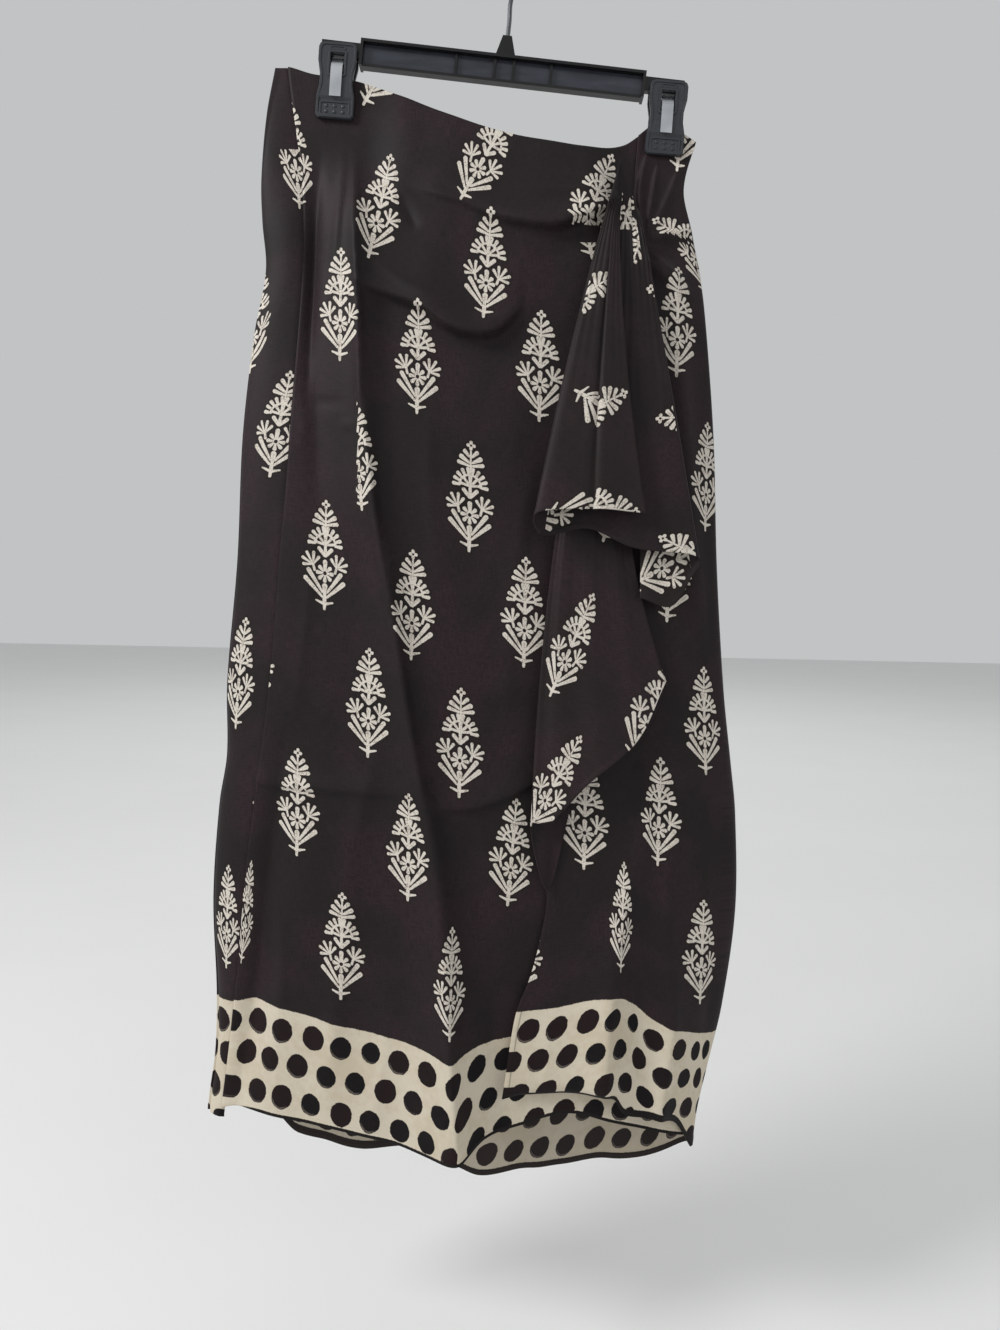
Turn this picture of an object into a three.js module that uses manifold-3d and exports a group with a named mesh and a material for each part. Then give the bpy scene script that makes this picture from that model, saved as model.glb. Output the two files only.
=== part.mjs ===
// A faux wrap skirt hanging from a clip hanger.
// Millimetres, +Z up, the front faces -Y. The origin is the inside of the hook's crown.
import * as THREE from "three";
import { mergeVertices } from "three/addons/utils/BufferGeometryUtils.js";
import Module from "manifold-3d";

const wasm = await Module();
wasm.setup();

// Cloth sizes
const clothWall = 1.2;
const seamGap = 0.5;
const clipHalfGap = 1.0;
const layerStep = 1.8;
const clipEase = 0.4;
const sideHalfGap = 0.8;
const sideStep = 4;
const ringPower = 2.4;

// The flat tube of the skirt at each height: its two silhouettes and its depth from front to back
const tubeSections = [
  { z: -112, left: -190, right: 146, depth: 6 },
  { z: -150, left: -197, right: 146, depth: 12 },
  { z: -200, left: -201, right: 134, depth: 24 },
  { z: -232, left: -200, right: 141, depth: 30 },
  { z: -270, left: -197, right: 150, depth: 34 },
  { z: -320, left: -206, right: 157, depth: 38 },
  { z: -400, left: -215, right: 165, depth: 44 },
  { z: -500, left: -219, right: 171, depth: 50 },
  { z: -600, left: -227, right: 180, depth: 56 },
  { z: -660, left: -227, right: 188, depth: 60 },
  { z: -700, left: -233, right: 193, depth: 62 },
  { z: -780, left: -238, right: 196, depth: 64 },
  { z: -860, left: -235, right: 188, depth: 66 },
  { z: -910, left: -236, right: 178, depth: 66 },
  { z: -960, left: -242, right: 169, depth: 66 },
  { z: -1040, left: -243, right: 165, depth: 66 },
];

// The left side seam, where the back panel comes round to the front
const leftSeam = [
  { z: -116, x: -181 },
  { z: -230, x: -167 },
  { z: -405, x: -175 },
  { z: -500, x: -182 },
  { z: -600, x: -189 },
  { z: -746, x: -207 },
  { z: -830, x: -214 },
  { z: -865, x: -218 },
  { z: -910, x: -223 },
  { z: -960, x: -229 },
];

// The waist edge sags between the two clips
const waistEdge = [
  { x: -190, z: -118 },
  { x: -176, z: -117 },
  { x: -157, z: -122 },
  { x: -142, z: -124 },
  { x: -119, z: -127 },
  { x: -91, z: -138 },
  { x: -52, z: -154 },
  { x: -12, z: -167 },
  { x: 35, z: -175 },
  { x: 67, z: -177 },
  { x: 86, z: -171 },
  { x: 98, z: -161 },
  { x: 106, z: -154 },
  { x: 118, z: -153 },
  { x: 132, z: -158 },
  { x: 146, z: -165 },
];
const waistEnds = [-190, 146];
const hemEnds = [-242, 168];
const backWaistDrop = 4;

// The hem of each panel
const frontHem = [
  { x: -242, z: -960 },
  { x: -214, z: -951 },
  { x: -159, z: -956 },
  { x: -93, z: -966 },
  { x: -53, z: -971 },
  { x: -27, z: -970 },
  { x: -8, z: -961 },
  { x: 21, z: -952 },
  { x: 62, z: -943 },
  { x: 94, z: -950 },
  { x: 168, z: -970 },
];
const backHem = [
  { x: -242, z: -962 },
  { x: -195, z: -974 },
  { x: -172, z: -999 },
  { x: -117, z: -1014 },
  { x: -71, z: -1008 },
  { x: -34, z: -1026 },
  { x: -10, z: -1036 },
  { x: 36, z: -1032 },
  { x: 60, z: -1024 },
  { x: 95, z: -1013 },
  { x: 129, z: -1008 },
  { x: 150, z: -998 },
  { x: 168, z: -984 },
];
const overlapHem = [
  { x: 5, z: -927 },
  { x: 31, z: -926 },
  { x: 78, z: -922 },
  { x: 92, z: -924 },
  { x: 104, z: -939 },
  { x: 135, z: -945 },
  { x: 151, z: -955 },
  { x: 168, z: -981 },
];

// The free edge of the overlap, from the gather at the waist to the hem
const overlapEdge = [
  { z: -160, x: 97 },
  { z: -230, x: 92 },
  { z: -330, x: 76 },
  { z: -450, x: 56 },
  { z: -600, x: 34 },
  { z: -704, x: 24 },
  { z: -730, x: 28 },
  { z: -762, x: 37 },
  { z: -796, x: 33 },
  { z: -829, x: 25 },
  { z: -856, x: 15 },
  { z: -895, x: 9 },
  { z: -927, x: 5 },
];
// How far the overlap stands off the front panel, from its middle line to the panel's
const overlapStandOff = [
  { z: -150, lift: 1.6 },
  { z: -230, lift: 2.6 },
  { z: -400, lift: 3 },
  { z: -700, lift: 4 },
  { z: -860, lift: 7 },
  { z: -927, lift: 9 },
];

// Long folds that run down the cloth: height is out of the cloth, and a trough has less than 0
const frontFolds = [
  {
    steepRight: 0.5,
    rows: [
      { z: -140, x: -128, height: 0, width: 14 },
      { z: -175, x: -126, height: 4, width: 18 },
      { z: -250, x: -122, height: 8, width: 24 },
      { z: -330, x: -117, height: 9, width: 26 },
      { z: -400, x: -110, height: 9, width: 26 },
      { z: -460, x: -104, height: 9, width: 24 },
      { z: -500, x: -94, height: 9, width: 24 },
      { z: -555, x: -86, height: 9, width: 24 },
      { z: -630, x: -74, height: 11, width: 26 },
      { z: -715, x: -54, height: 14, width: 30 },
      { z: -790, x: -43, height: 18, width: 36 },
      { z: -904, x: -36, height: 26, width: 44 },
      { z: -990, x: -27, height: 33, width: 48 },
    ],
  },
  {
    steepRight: 1,
    rows: [
      { z: -150, x: -160, height: 0, width: 12 },
      { z: -190, x: -161, height: -5, width: 14 },
      { z: -300, x: -158, height: -6, width: 16 },
      { z: -420, x: -152, height: -4, width: 18 },
      { z: -540, x: -146, height: 0, width: 20 },
    ],
  },
  {
    steepRight: 1,
    rows: [
      { z: -620, x: -172, height: 0, width: 16 },
      { z: -720, x: -184, height: -7, width: 18 },
      { z: -850, x: -198, height: -9, width: 18 },
      { z: -960, x: -214, height: -4, width: 20 },
    ],
  },
];
const overlapFolds = [
  {
    steepRight: 0.55,
    rows: [
      { z: -560, x: 150, height: 0, width: 24 },
      { z: -690, x: 118, height: 4, width: 26 },
      { z: -780, x: 98, height: 9, width: 28 },
      { z: -860, x: 88, height: 15, width: 30 },
      { z: -940, x: 86, height: 18, width: 30 },
    ],
  },
  {
    steepRight: 0.8,
    rows: [
      { z: -640, x: 150, height: 0, width: 18 },
      { z: -760, x: 134, height: 4, width: 16 },
      { z: -860, x: 141, height: 7, width: 16 },
      { z: -950, x: 132, height: 9, width: 16 },
    ],
  },
  {
    steepRight: 1,
    rows: [
      { z: -260, x: 122, height: 0, width: 16 },
      { z: -330, x: 132, height: 5, width: 16 },
      { z: -480, x: 150, height: 5, width: 18 },
      { z: -600, x: 158, height: 0, width: 20 },
    ],
  },
];
const backFolds = [
  {
    steepRight: 1,
    rows: [
      { z: -180, x: -120, height: 0, width: 30 },
      { z: -420, x: -130, height: 3, width: 34 },
      { z: -1000, x: -150, height: 8, width: 38 },
    ],
  },
  {
    steepRight: 1,
    rows: [
      { z: -200, x: -30, height: 0, width: 34 },
      { z: -520, x: -45, height: -3, width: 38 },
      { z: -1030, x: -60, height: -6, width: 40 },
    ],
  },
  {
    steepRight: 1,
    rows: [
      { z: -180, x: 70, height: 0, width: 30 },
      { z: -480, x: 55, height: 3, width: 36 },
      { z: -1030, x: 25, height: 9, width: 40 },
    ],
  },
  {
    steepRight: 1,
    rows: [
      { z: -300, x: 120, height: 0, width: 24 },
      { z: -600, x: 118, height: -3, width: 30 },
      { z: -1000, x: 105, height: -5, width: 32 },
    ],
  },
];

// Swags that cross the cloth from side to side: each hangs over what lies below it
const frontSwags = [
  {
    steepBelow: 0.3,
    rows: [
      { x: -126, z: -282, height: 0, width: 26 },
      { x: -112, z: -298, height: 6, width: 30 },
      { x: -80, z: -320, height: 9, width: 34 },
      { x: -45, z: -333, height: 10, width: 36 },
      { x: -12, z: -336, height: 9, width: 34 },
      { x: 8, z: -326, height: 4, width: 26 },
      { x: 20, z: -308, height: 0, width: 22 },
    ],
  },
  {
    steepBelow: 0.35,
    rows: [
      { x: -80, z: -202, height: 0, width: 20 },
      { x: -37, z: -218, height: 4, width: 24 },
      { x: -5, z: -229, height: 6, width: 26 },
      { x: 20, z: -235, height: 8, width: 26 },
      { x: 45, z: -232, height: 8, width: 26 },
      { x: 72, z: -224, height: 6, width: 24 },
      { x: 92, z: -220, height: 0, width: 20 },
    ],
  },
];
const overlapSwags = [
  {
    steepBelow: 0.5,
    rows: [
      { x: 92, z: -246, height: 0, width: 12 },
      { x: 108, z: -243, height: 4, width: 14 },
      { x: 134, z: -238, height: 4, width: 14 },
      { x: 144, z: -236, height: 0, width: 14 },
    ],
  },
  {
    steepBelow: 0.5,
    rows: [
      { x: 92, z: -262, height: 0, width: 12 },
      { x: 110, z: -268, height: 4, width: 14 },
      { x: 136, z: -282, height: 4, width: 14 },
      { x: 150, z: -290, height: 0, width: 14 },
    ],
  },
];

// The cascade's folds, in order along its cloth: where each leaves the gather, its middle and its hem,
// with how far it stands off the overlap
const upperCascade = [
  { topX: 80, topZ: -196, topLift: 9.4, midX: 86, midZ: -325, midLift: 20, hemX: 105, hemZ: -461, hemLift: 30 },
  { topX: 81, topZ: -190, topLift: 10, midX: 69, midZ: -325, midLift: 23, hemX: 64, hemZ: -459, hemLift: 33 },
  { topX: 82, topZ: -186, topLift: 9.6, midX: 50, midZ: -322, midLift: 21, hemX: 22, hemZ: -463, hemLift: 31 },
  { topX: 83, topZ: -186, topLift: 7.6, midX: 51, midZ: -326, midLift: 15, hemX: 28, hemZ: -479, hemLift: 21 },
  { topX: 85, topZ: -193, topLift: 6.6, midX: 74, midZ: -336, midLift: 14, hemX: 62, hemZ: -473, hemLift: 19 },
  { topX: 90, topZ: -206, topLift: 6.6, midX: 97, midZ: -338, midLift: 15, hemX: 97, hemZ: -487, hemLift: 22 },
  { topX: 97, topZ: -222, topLift: 6.4, midX: 118, midZ: -340, midLift: 15, hemX: 145, hemZ: -492, hemLift: 23 },
  { topX: 98, topZ: -224, topLift: 4.6, midX: 118, midZ: -346, midLift: 10, hemX: 144, hemZ: -507, hemLift: 16 },
  { topX: 98, topZ: -226, topLift: 4.2, midX: 112, midZ: -352, midLift: 8.5, hemX: 129, hemZ: -531, hemLift: 14 },
  { topX: 97, topZ: -226, topLift: 4, midX: 101, midZ: -350, midLift: 8, hemX: 104, hemZ: -525, hemLift: 13 },
];
const lowerCascade = [
  { topX: 99, topZ: -232, topLift: 2.4, midX: 88, midZ: -415, midLift: 4, hemX: 127, hemZ: -590, hemLift: 10 },
  { topX: 98, topZ: -230, topLift: 2.6, midX: 79, midZ: -420, midLift: 6, hemX: 104, hemZ: -636, hemLift: 17 },
  { topX: 97, topZ: -228, topLift: 2.6, midX: 66, midZ: -428, midLift: 7, hemX: 70, hemZ: -666, hemLift: 20 },
  { topX: 96, topZ: -227, topLift: 2.6, midX: 50, midZ: -432, midLift: 7, hemX: 38, hemZ: -700, hemLift: 17 },
  { topX: 95, topZ: -227, topLift: 2.4, midX: 44, midZ: -432, midLift: 5, hemX: 23, hemZ: -705, hemLift: 11 },
  { topX: 96, topZ: -228, topLift: 2.4, midX: 47, midZ: -432, midLift: 2.6, hemX: 33, hemZ: -700, hemLift: 4 },
];

// Hanger sizes
const hangerTilt = THREE.MathUtils.degToRad(5.2);
const hook = {
  wire: 3.6,
  innerRadius: 19,
  shankEnd: -94,
  neck: -56,
  neckAngle: THREE.MathUtils.degToRad(-58),
  tipAngle: THREE.MathUtils.degToRad(205),
  arcSteps: 22,
  sides: 8,
};
const bar = { x: -1, z: -113, height: 20, depth: 12, lip: 7, length: 225, plate: 2.2, ribAt: [-38, -7.5, 7.5, 37] };
const barTab = { height: 11, depth: 5, length: 30, rise: 2 };
const boss = { bottom: 16, top: 7, height: 16, depth: 9 };
const jaw = { width: 30, waist: 26, height: 57, plate: 2.6, topGap: 3.1, padHeight: 14 };
const window = { width: 11, top: -8, bottom: -24 };
const spring = { width: 9, plate: 0.9, top: -17, bottom: -43 };
const clipLean = THREE.MathUtils.degToRad(3.3);
const clips = [
  { name: "left", x: -140, z: -96, frontLayers: 1 },
  { name: "right", x: 120, z: -119.5, frontLayers: 2 },
];

// Smooth value of one column of a table, by another column, held past its ends
function column(rows, by, name) {
  const sorted = [...rows].sort((a, b) => a[by] - b[by]);
  const at = sorted.map((row) => row[by]);
  const value = sorted.map((row) => row[name]);
  const last = at.length - 1;
  const slope = value.map((_, k) => {
    const before = Math.max(k - 1, 0);
    const after = Math.min(k + 1, last);
    return (value[after] - value[before]) / (at[after] - at[before]);
  });
  return (t) => {
    if (t <= at[0]) return value[0];
    if (t >= at[last]) return value[last];
    const k = at.findIndex((edge) => edge > t) - 1;
    const span = at[k + 1] - at[k];
    const s = (t - at[k]) / span;
    const rise = s * s * (3 - 2 * s);
    const leave = s * (1 - s) * (1 - s) * span * slope[k];
    const arrive = s * s * (1 - s) * span * slope[k + 1];
    return value[k] + (value[k + 1] - value[k]) * rise + leave - arrive;
  };
}

function lerp(a, b, t) {
  return a + (b - a) * t;
}

// 1 within flat of the middle, then a smooth fall to 0 over fade
function plateau(distance, flat, fade) {
  return 1 - THREE.MathUtils.smoothstep(Math.abs(distance), flat, flat + fade);
}

// A fold's section: a soft crease at 0 that dies away on each side
function crease(t) {
  const softness = 0.3;
  return Math.exp(2 * (softness - Math.hypot(t, softness)));
}

function foldReader({ steepRight, rows }) {
  const at = ["x", "height", "width"].map((name) => column(rows, "z", name));
  return (x, z) => {
    const [middle, height, width] = at.map((read) => read(z));
    const side = (x - middle) / width;
    return height * crease(side > 0 ? side / steepRight : side);
  };
}

function swagReader({ steepBelow, rows }) {
  const at = ["z", "height", "width"].map((name) => column(rows, "x", name));
  return (x, z) => {
    const [middle, height, width] = at.map((read) => read(x));
    const rise = (z - middle) / width;
    return height * crease(rise < 0 ? rise / steepBelow : rise);
  };
}

function foldSum(folds, swags) {
  const readers = [...folds.map(foldReader), ...swags.map(swagReader)];
  return (x, z) => readers.reduce((sum, read) => sum + read(x, z), 0);
}

const leftAt = column(tubeSections, "z", "left");
const rightAt = column(tubeSections, "z", "right");
const depthAt = column(tubeSections, "z", "depth");
const seamAt = column(leftSeam, "z", "x");
const waistAt = column(waistEdge, "x", "z");
const frontHemAt = column(frontHem, "x", "z");
const backHemAt = column(backHem, "x", "z");
const overlapHemAt = column(overlapHem, "x", "z");
const edgeAt = column(overlapEdge, "z", "x");
const standOffAt = column(overlapStandOff, "z", "lift");
const frontRelief = foldSum(frontFolds, frontSwags);
const overlapRelief = foldSum(overlapFolds, overlapSwags);
const backRelief = foldSum(backFolds, []);

// How much the clips press the cloth flat at a place
function pressed(x, z) {
  const flat = jaw.width / 2 + 9;
  return clips.reduce((most, clip) => {
    const padX = clip.x - jaw.height * Math.sin(clipLean);
    const below = Math.max(clip.z - jaw.height - z, 0);
    return Math.max(most, plateau(x - padX, flat, 40) * plateau(below, 8, 84));
  }, 0);
}

// Half the tube's depth at a place, rounded off to nothing at its two silhouettes
function halfDepth(x, z, inset) {
  const left = leftAt(z) + inset;
  const right = rightAt(z) - inset;
  const across = THREE.MathUtils.clamp((2 * (x - left)) / (right - left) - 1, -1, 1);
  return (depthAt(z) / 2) * (1 - Math.abs(across) ** ringPower) ** (1 / ringPower);
}

// Folds die away at the silhouettes, where the tube turns round
function awayFromSides(x, z) {
  const room = Math.min(x - leftAt(z), rightAt(z) - x);
  return THREE.MathUtils.smoothstep(room, 2, 26);
}

function frontY(x, z) {
  const relief = frontRelief(x, z) * awayFromSides(x, z);
  const free = halfDepth(x, z, sideStep) + relief;
  return -lerp(free, clipHalfGap, pressed(x, z));
}

// The overlap is the front panel's surface moved out, with its own folds
function overlapY(x, z) {
  const round = 1 - THREE.MathUtils.smoothstep(rightAt(z) - x, 6, 40);
  const under = -frontY(x - sideStep * round, z);
  const relief = Math.max(overlapRelief(x, z), 0) * awayFromSides(x, z);
  const step = lerp(standOffAt(z), 0.5, round) + relief;
  return -under - lerp(step, layerStep, pressed(x, z));
}

function backY(x, z) {
  const free = halfDepth(x, z, 0) + backRelief(x, z) * awayFromSides(x, z);
  return lerp(free, clipHalfGap, pressed(x, z));
}

// A closed wall of even thickness round a surface that is given on a grid
function wallGeometry(surface, across, down, thickness = clothWall) {
  const columns = across.length;
  const rows = down.length;
  const middle = down.map((v) => across.map((u) => surface(u, v)));
  const place = (i, j) => middle[THREE.MathUtils.clamp(j, 0, rows - 1)][THREE.MathUtils.clamp(i, 0, columns - 1)];
  const points = [];
  for (const side of [0.5, -0.5]) {
    for (let j = 0; j < rows; j += 1) {
      for (let i = 0; i < columns; i += 1) {
        const along = place(i + 1, j).clone().sub(place(i - 1, j));
        const drop = place(i, j + 1).clone().sub(place(i, j - 1));
        const out = drop.cross(along).normalize();
        points.push(place(i, j).clone().addScaledVector(out, side * thickness));
      }
    }
  }
  const index = [];
  const quad = (a, b, c, d) => index.push(a, b, c, a, c, d);
  const at = (i, j, side) => side * rows * columns + j * columns + i;
  for (let j = 0; j < rows - 1; j += 1) {
    for (let i = 0; i < columns - 1; i += 1) {
      quad(at(i, j, 0), at(i, j + 1, 0), at(i + 1, j + 1, 0), at(i + 1, j, 0));
      quad(at(i, j, 1), at(i + 1, j, 1), at(i + 1, j + 1, 1), at(i, j + 1, 1));
    }
  }
  for (let i = 0; i < columns - 1; i += 1) {
    quad(at(i, 0, 1), at(i, 0, 0), at(i + 1, 0, 0), at(i + 1, 0, 1));
    quad(at(i, rows - 1, 0), at(i, rows - 1, 1), at(i + 1, rows - 1, 1), at(i + 1, rows - 1, 0));
  }
  for (let j = 0; j < rows - 1; j += 1) {
    quad(at(0, j, 1), at(0, j + 1, 1), at(0, j + 1, 0), at(0, j, 0));
    quad(at(columns - 1, j, 0), at(columns - 1, j + 1, 0), at(columns - 1, j + 1, 1), at(columns - 1, j, 1));
  }
  return facingOut(points, index);
}

// Turns every face round if the faces point in
function facingOut(points, index) {
  let volume = 0;
  for (let k = 0; k < index.length; k += 3) {
    const [a, b, c] = [points[index[k]], points[index[k + 1]], points[index[k + 2]]];
    volume += a.dot(b.clone().cross(c));
  }
  const geometry = new THREE.BufferGeometry().setFromPoints(points);
  geometry.setIndex(volume > 0 ? index : index.slice().reverse());
  return geometry;
}

function evenly(steps, ease = (t) => t) {
  return Array.from({ length: steps + 1 }, (_, k) => ease(k / steps));
}

// Rows are closer together near the waist, where the swags are
const closeAtWaist = (t) => lerp(t, t * t, 0.62);
const closeAtRight = (t) => 1 - (1 - t) ** 1.3;

// Both front layers share their upright lines: below 0 is left of the overlap's edge, 1 is the right side
function frontLine(s, z, inset) {
  return s < 0 ? lerp(edgeAt(z), seamAt(z) + seamGap, -s) : lerp(edgeAt(z), rightAt(z) - inset, s);
}

function frontSurface(s, v) {
  const z = lerp(waistAt(frontLine(s, -150, 0)), frontHemAt(frontLine(s, -940, 0)), v);
  const x = frontLine(s, z, sideStep + 2);
  return new THREE.Vector3(x, frontY(x, z), z);
}

function overlapSurface(s, v) {
  const z = lerp(waistAt(frontLine(s, -150, 0)), overlapHemAt(frontLine(s, -940, 0)), v);
  const x = frontLine(s, z, 0);
  return new THREE.Vector3(x, overlapY(x, z), z);
}

// The back's height at a share of the way across it: 0 is the left silhouette and 1 the right seam
function backRow(share, v) {
  const drop = backWaistDrop * Math.sin(Math.PI * share);
  const top = waistAt(lerp(...waistEnds, share)) - drop;
  return lerp(top, backHemAt(lerp(...hemEnds, share)), v);
}

function backSurface(share, v) {
  const rounded = (1 - Math.cos(Math.PI * share)) / 2;
  const part = lerp(share, rounded, 0.7);
  const z = backRow(part, v);
  const x = lerp(leftAt(z), rightAt(z) + 0.2, part);
  return new THREE.Vector3(x, Math.max(backY(x, z), sideHalfGap), z);
}

// The back's left edge comes round the silhouette to the seam with the front panel
function backWrapSurface(share, v) {
  const z = backRow(0, v);
  const turn = Math.sin((Math.PI * share) / 2);
  const x = lerp(leftAt(z), seamAt(z) - seamGap, 1 - Math.cos((Math.PI * share) / 2));
  const relief = frontRelief(x, z) * awayFromSides(x, z);
  const free = halfDepth(x, z, sideStep * turn) + relief;
  const y = lerp(free, clipHalfGap * turn, pressed(x, z));
  return new THREE.Vector3(x, -Math.max(y, sideHalfGap), z);
}

// A cascade passes smoothly through its folds, one after another
function cascadeSurface(folds) {
  const numbered = folds.map((fold, order) => ({ ...fold, order }));
  const names = ["X", "Z", "Lift"];
  const read = ["top", "mid", "hem"].map((place) => names.map((name) => column(numbered, "order", place + name)));
  return (u, v) => {
    const order = u * (folds.length - 1);
    const weights = [(2 * v - 1) * (v - 1), 4 * v * (1 - v), v * (2 * v - 1)];
    const [x, z, lift] = names.map((_, n) => {
      return weights.reduce((sum, weight, place) => sum + weight * read[place][n](order), 0);
    });
    return new THREE.Vector3(x, overlapY(x, z) - lift, z);
  };
}

const palette = {
  cloth: new THREE.MeshStandardMaterial({ color: 0x2b2226, roughness: 0.75, metalness: 0 }),
  plastic: new THREE.MeshStandardMaterial({ color: 0x1b1c1f, roughness: 0.4, metalness: 0 }),
  steel: new THREE.MeshStandardMaterial({ color: 0xc9ccd0, roughness: 0.25, metalness: 1 }),
};

function named(name, geometry, material) {
  const mesh = new THREE.Mesh(geometry, material);
  mesh.name = name;
  return mesh;
}

// A closed three.js geometry as a solid that can be joined and cut
function solid(geometry) {
  const bare = geometry.index ? geometry.toNonIndexed() : geometry.clone();
  bare.deleteAttribute("normal");
  bare.deleteAttribute("uv");
  const merged = mergeVertices(bare, 1e-4);
  const vertProperties = new Float32Array(merged.attributes.position.array);
  const triVerts = new Uint32Array(merged.index.array);
  return new wasm.Manifold(new wasm.Mesh({ numProp: 3, vertProperties, triVerts }));
}

function fromSolid(body) {
  const mesh = body.getMesh();
  const geometry = new THREE.BufferGeometry();
  geometry.setAttribute("position", new THREE.BufferAttribute(mesh.vertProperties, 3));
  geometry.setIndex(new THREE.BufferAttribute(mesh.triVerts, 1));
  return geometry;
}

function block(width, depth, height, x, y, z) {
  return new THREE.BoxGeometry(width, depth, height).translate(x, y, z);
}

// An outline in X and Z, given a thickness along Y about y
function plateXZ(outline, thickness, y) {
  const shape = new THREE.Shape(outline.map(([x, z]) => new THREE.Vector2(x, z)));
  const geometry = new THREE.ExtrudeGeometry(shape, { depth: thickness, bevelEnabled: false });
  return geometry.rotateX(Math.PI / 2).translate(0, y + thickness / 2, 0);
}

// An outline in Y and Z, given a width along X about 0
function profileYZ(outline, width) {
  const shape = new THREE.Shape(outline.map(([y, z]) => new THREE.Vector2(y, z)));
  const geometry = new THREE.ExtrudeGeometry(shape, { depth: width, bevelEnabled: false });
  return geometry.rotateX(Math.PI / 2).rotateZ(Math.PI / 2).translate(-width / 2, 0, 0);
}

function hangerBar() {
  const { x, z, height, depth, lip, length, plate, ribAt } = bar;
  const flangeZ = (height - plate) / 2;
  const pieces = [
    block(length, plate, height, x, 0, z),
    block(length, depth, plate, x, 0, z + flangeZ),
    block(length, lip, plate, x, 0, z - flangeZ),
    ...ribAt.map((at) => block(plate, lip, height - plate, at, 0, z)),
    ...[-1, 1].map((side) => block(plate, depth, height, x + (side * (length - plate)) / 2, 0, z)),
    ...[-1, 1].map((side) => {
      const middle = x + (side * (length + barTab.length)) / 2;
      return block(barTab.length + 2, barTab.depth, barTab.height, middle, 0, z + barTab.rise);
    }),
  ];
  const top = z + height / 2 - 1;
  const socket = plateXZ(
    [
      [-boss.bottom / 2, top],
      [boss.bottom / 2, top],
      [boss.top / 2, top + boss.height],
      [-boss.top / 2, top + boss.height],
    ],
    boss.depth,
    0,
  );
  const bore = new THREE.CylinderGeometry(hook.wire / 2 + seamGap, hook.wire / 2 + seamGap, 20, 12);
  bore.rotateX(Math.PI / 2).translate(0, 0, hook.shankEnd - seamGap + 10);
  const joined = pieces.map(solid).reduce((sum, next) => sum.add(next), solid(socket));
  return fromSolid(joined.subtract(solid(bore)));
}

function hangerHook() {
  const { wire, innerRadius, shankEnd, neck, tipAngle, neckAngle, arcSteps, sides } = hook;
  const radius = innerRadius + wire / 2;
  const centre = -innerRadius;
  const bend = evenly(arcSteps).map((t) => {
    const turn = lerp(neckAngle, tipAngle, t);
    return new THREE.Vector3(radius * Math.cos(turn), 0, centre + radius * Math.sin(turn));
  });
  const shank = [shankEnd, (shankEnd + neck) / 2, neck].map((z) => new THREE.Vector3(0, 0, z));
  const route = new THREE.CatmullRomCurve3([...shank, ...bend], false, "centripetal");
  const section = evenly(sides).slice(0, -1).map((t) => {
    const turn = 2 * Math.PI * t;
    return new THREE.Vector2((wire / 2) * Math.cos(turn), (wire / 2) * Math.sin(turn));
  });
  const options = { steps: 2 * arcSteps, extrudePath: route, bevelEnabled: false };
  return new THREE.ExtrudeGeometry(new THREE.Shape(section), options);
}

// The jaw's outline from the front: a plate with a waist and round corners, its top edge at 0
function jawOutline() {
  const half = jaw.width / 2;
  const waist = jaw.waist / 2;
  const corner = 4;
  const right = [
    [half - corner, 0],
    [half - 1.2, -1.2],
    [half, -corner],
    [half, -14],
    [waist, -24],
    [waist, -32],
    [half, -42],
    [half, -jaw.height + 2],
    [half - 2, -jaw.height],
  ];
  return [...right, ...right.map(([x, z]) => [-x, z]).reverse()];
}

// One jaw: it lies on the bar's tab at the top and on the cloth at the pad
function jawGeometry(side, padY) {
  const top = jaw.topGap;
  const plate = jaw.plate;
  const pad = -jaw.height + jaw.padHeight;
  const inner = [
    [top, 0],
    [top, -22],
    [padY + 1, pad + 2],
    [padY, pad],
    [padY, -jaw.height],
  ];
  const outer = inner.map(([y, z]) => [y + plate, z]).reverse();
  const profile = [...inner, ...outer].map(([y, z]) => [side * y, z]);
  const thick = solid(profileYZ(profile, jaw.width + 2));
  const outline = solid(plateXZ(jawOutline(), 40, 0));
  const height = window.top - window.bottom;
  const hole = solid(block(window.width, 40, height, 0, 0, (window.top + window.bottom) / 2));
  return fromSolid(thick.intersect(outline).subtract(hole));
}

// The steel spring: an arch through both windows, with a leg down each jaw
function springGeometry(frontPad, backPad) {
  const leg = (side, padY) => {
    const clear = jaw.plate + seamGap;
    const lean = (z) => lerp(jaw.topGap, padY + 1, THREE.MathUtils.clamp((-22 - z) / 19, 0, 1));
    return [spring.top - 2, -22.4, -30, spring.bottom + 1.6].map((z) => [side * (lean(z) + clear + 0.2), z]);
  };
  const outside = spring.plate;
  const front = leg(-1, frontPad);
  const back = leg(1, backPad);
  const inner = [...front.slice().reverse(), [-2, spring.top + 6], [2, spring.top + 6], ...back];
  const outer = [
    ...front.slice().reverse().map(([y, z]) => [y - outside, z]),
    [-2.6, spring.top + 6 + outside],
    [2.6, spring.top + 6 + outside],
    ...back.map(([y, z]) => [y + outside, z]),
  ];
  return profileYZ([...inner, ...outer.reverse()], spring.width);
}

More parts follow.
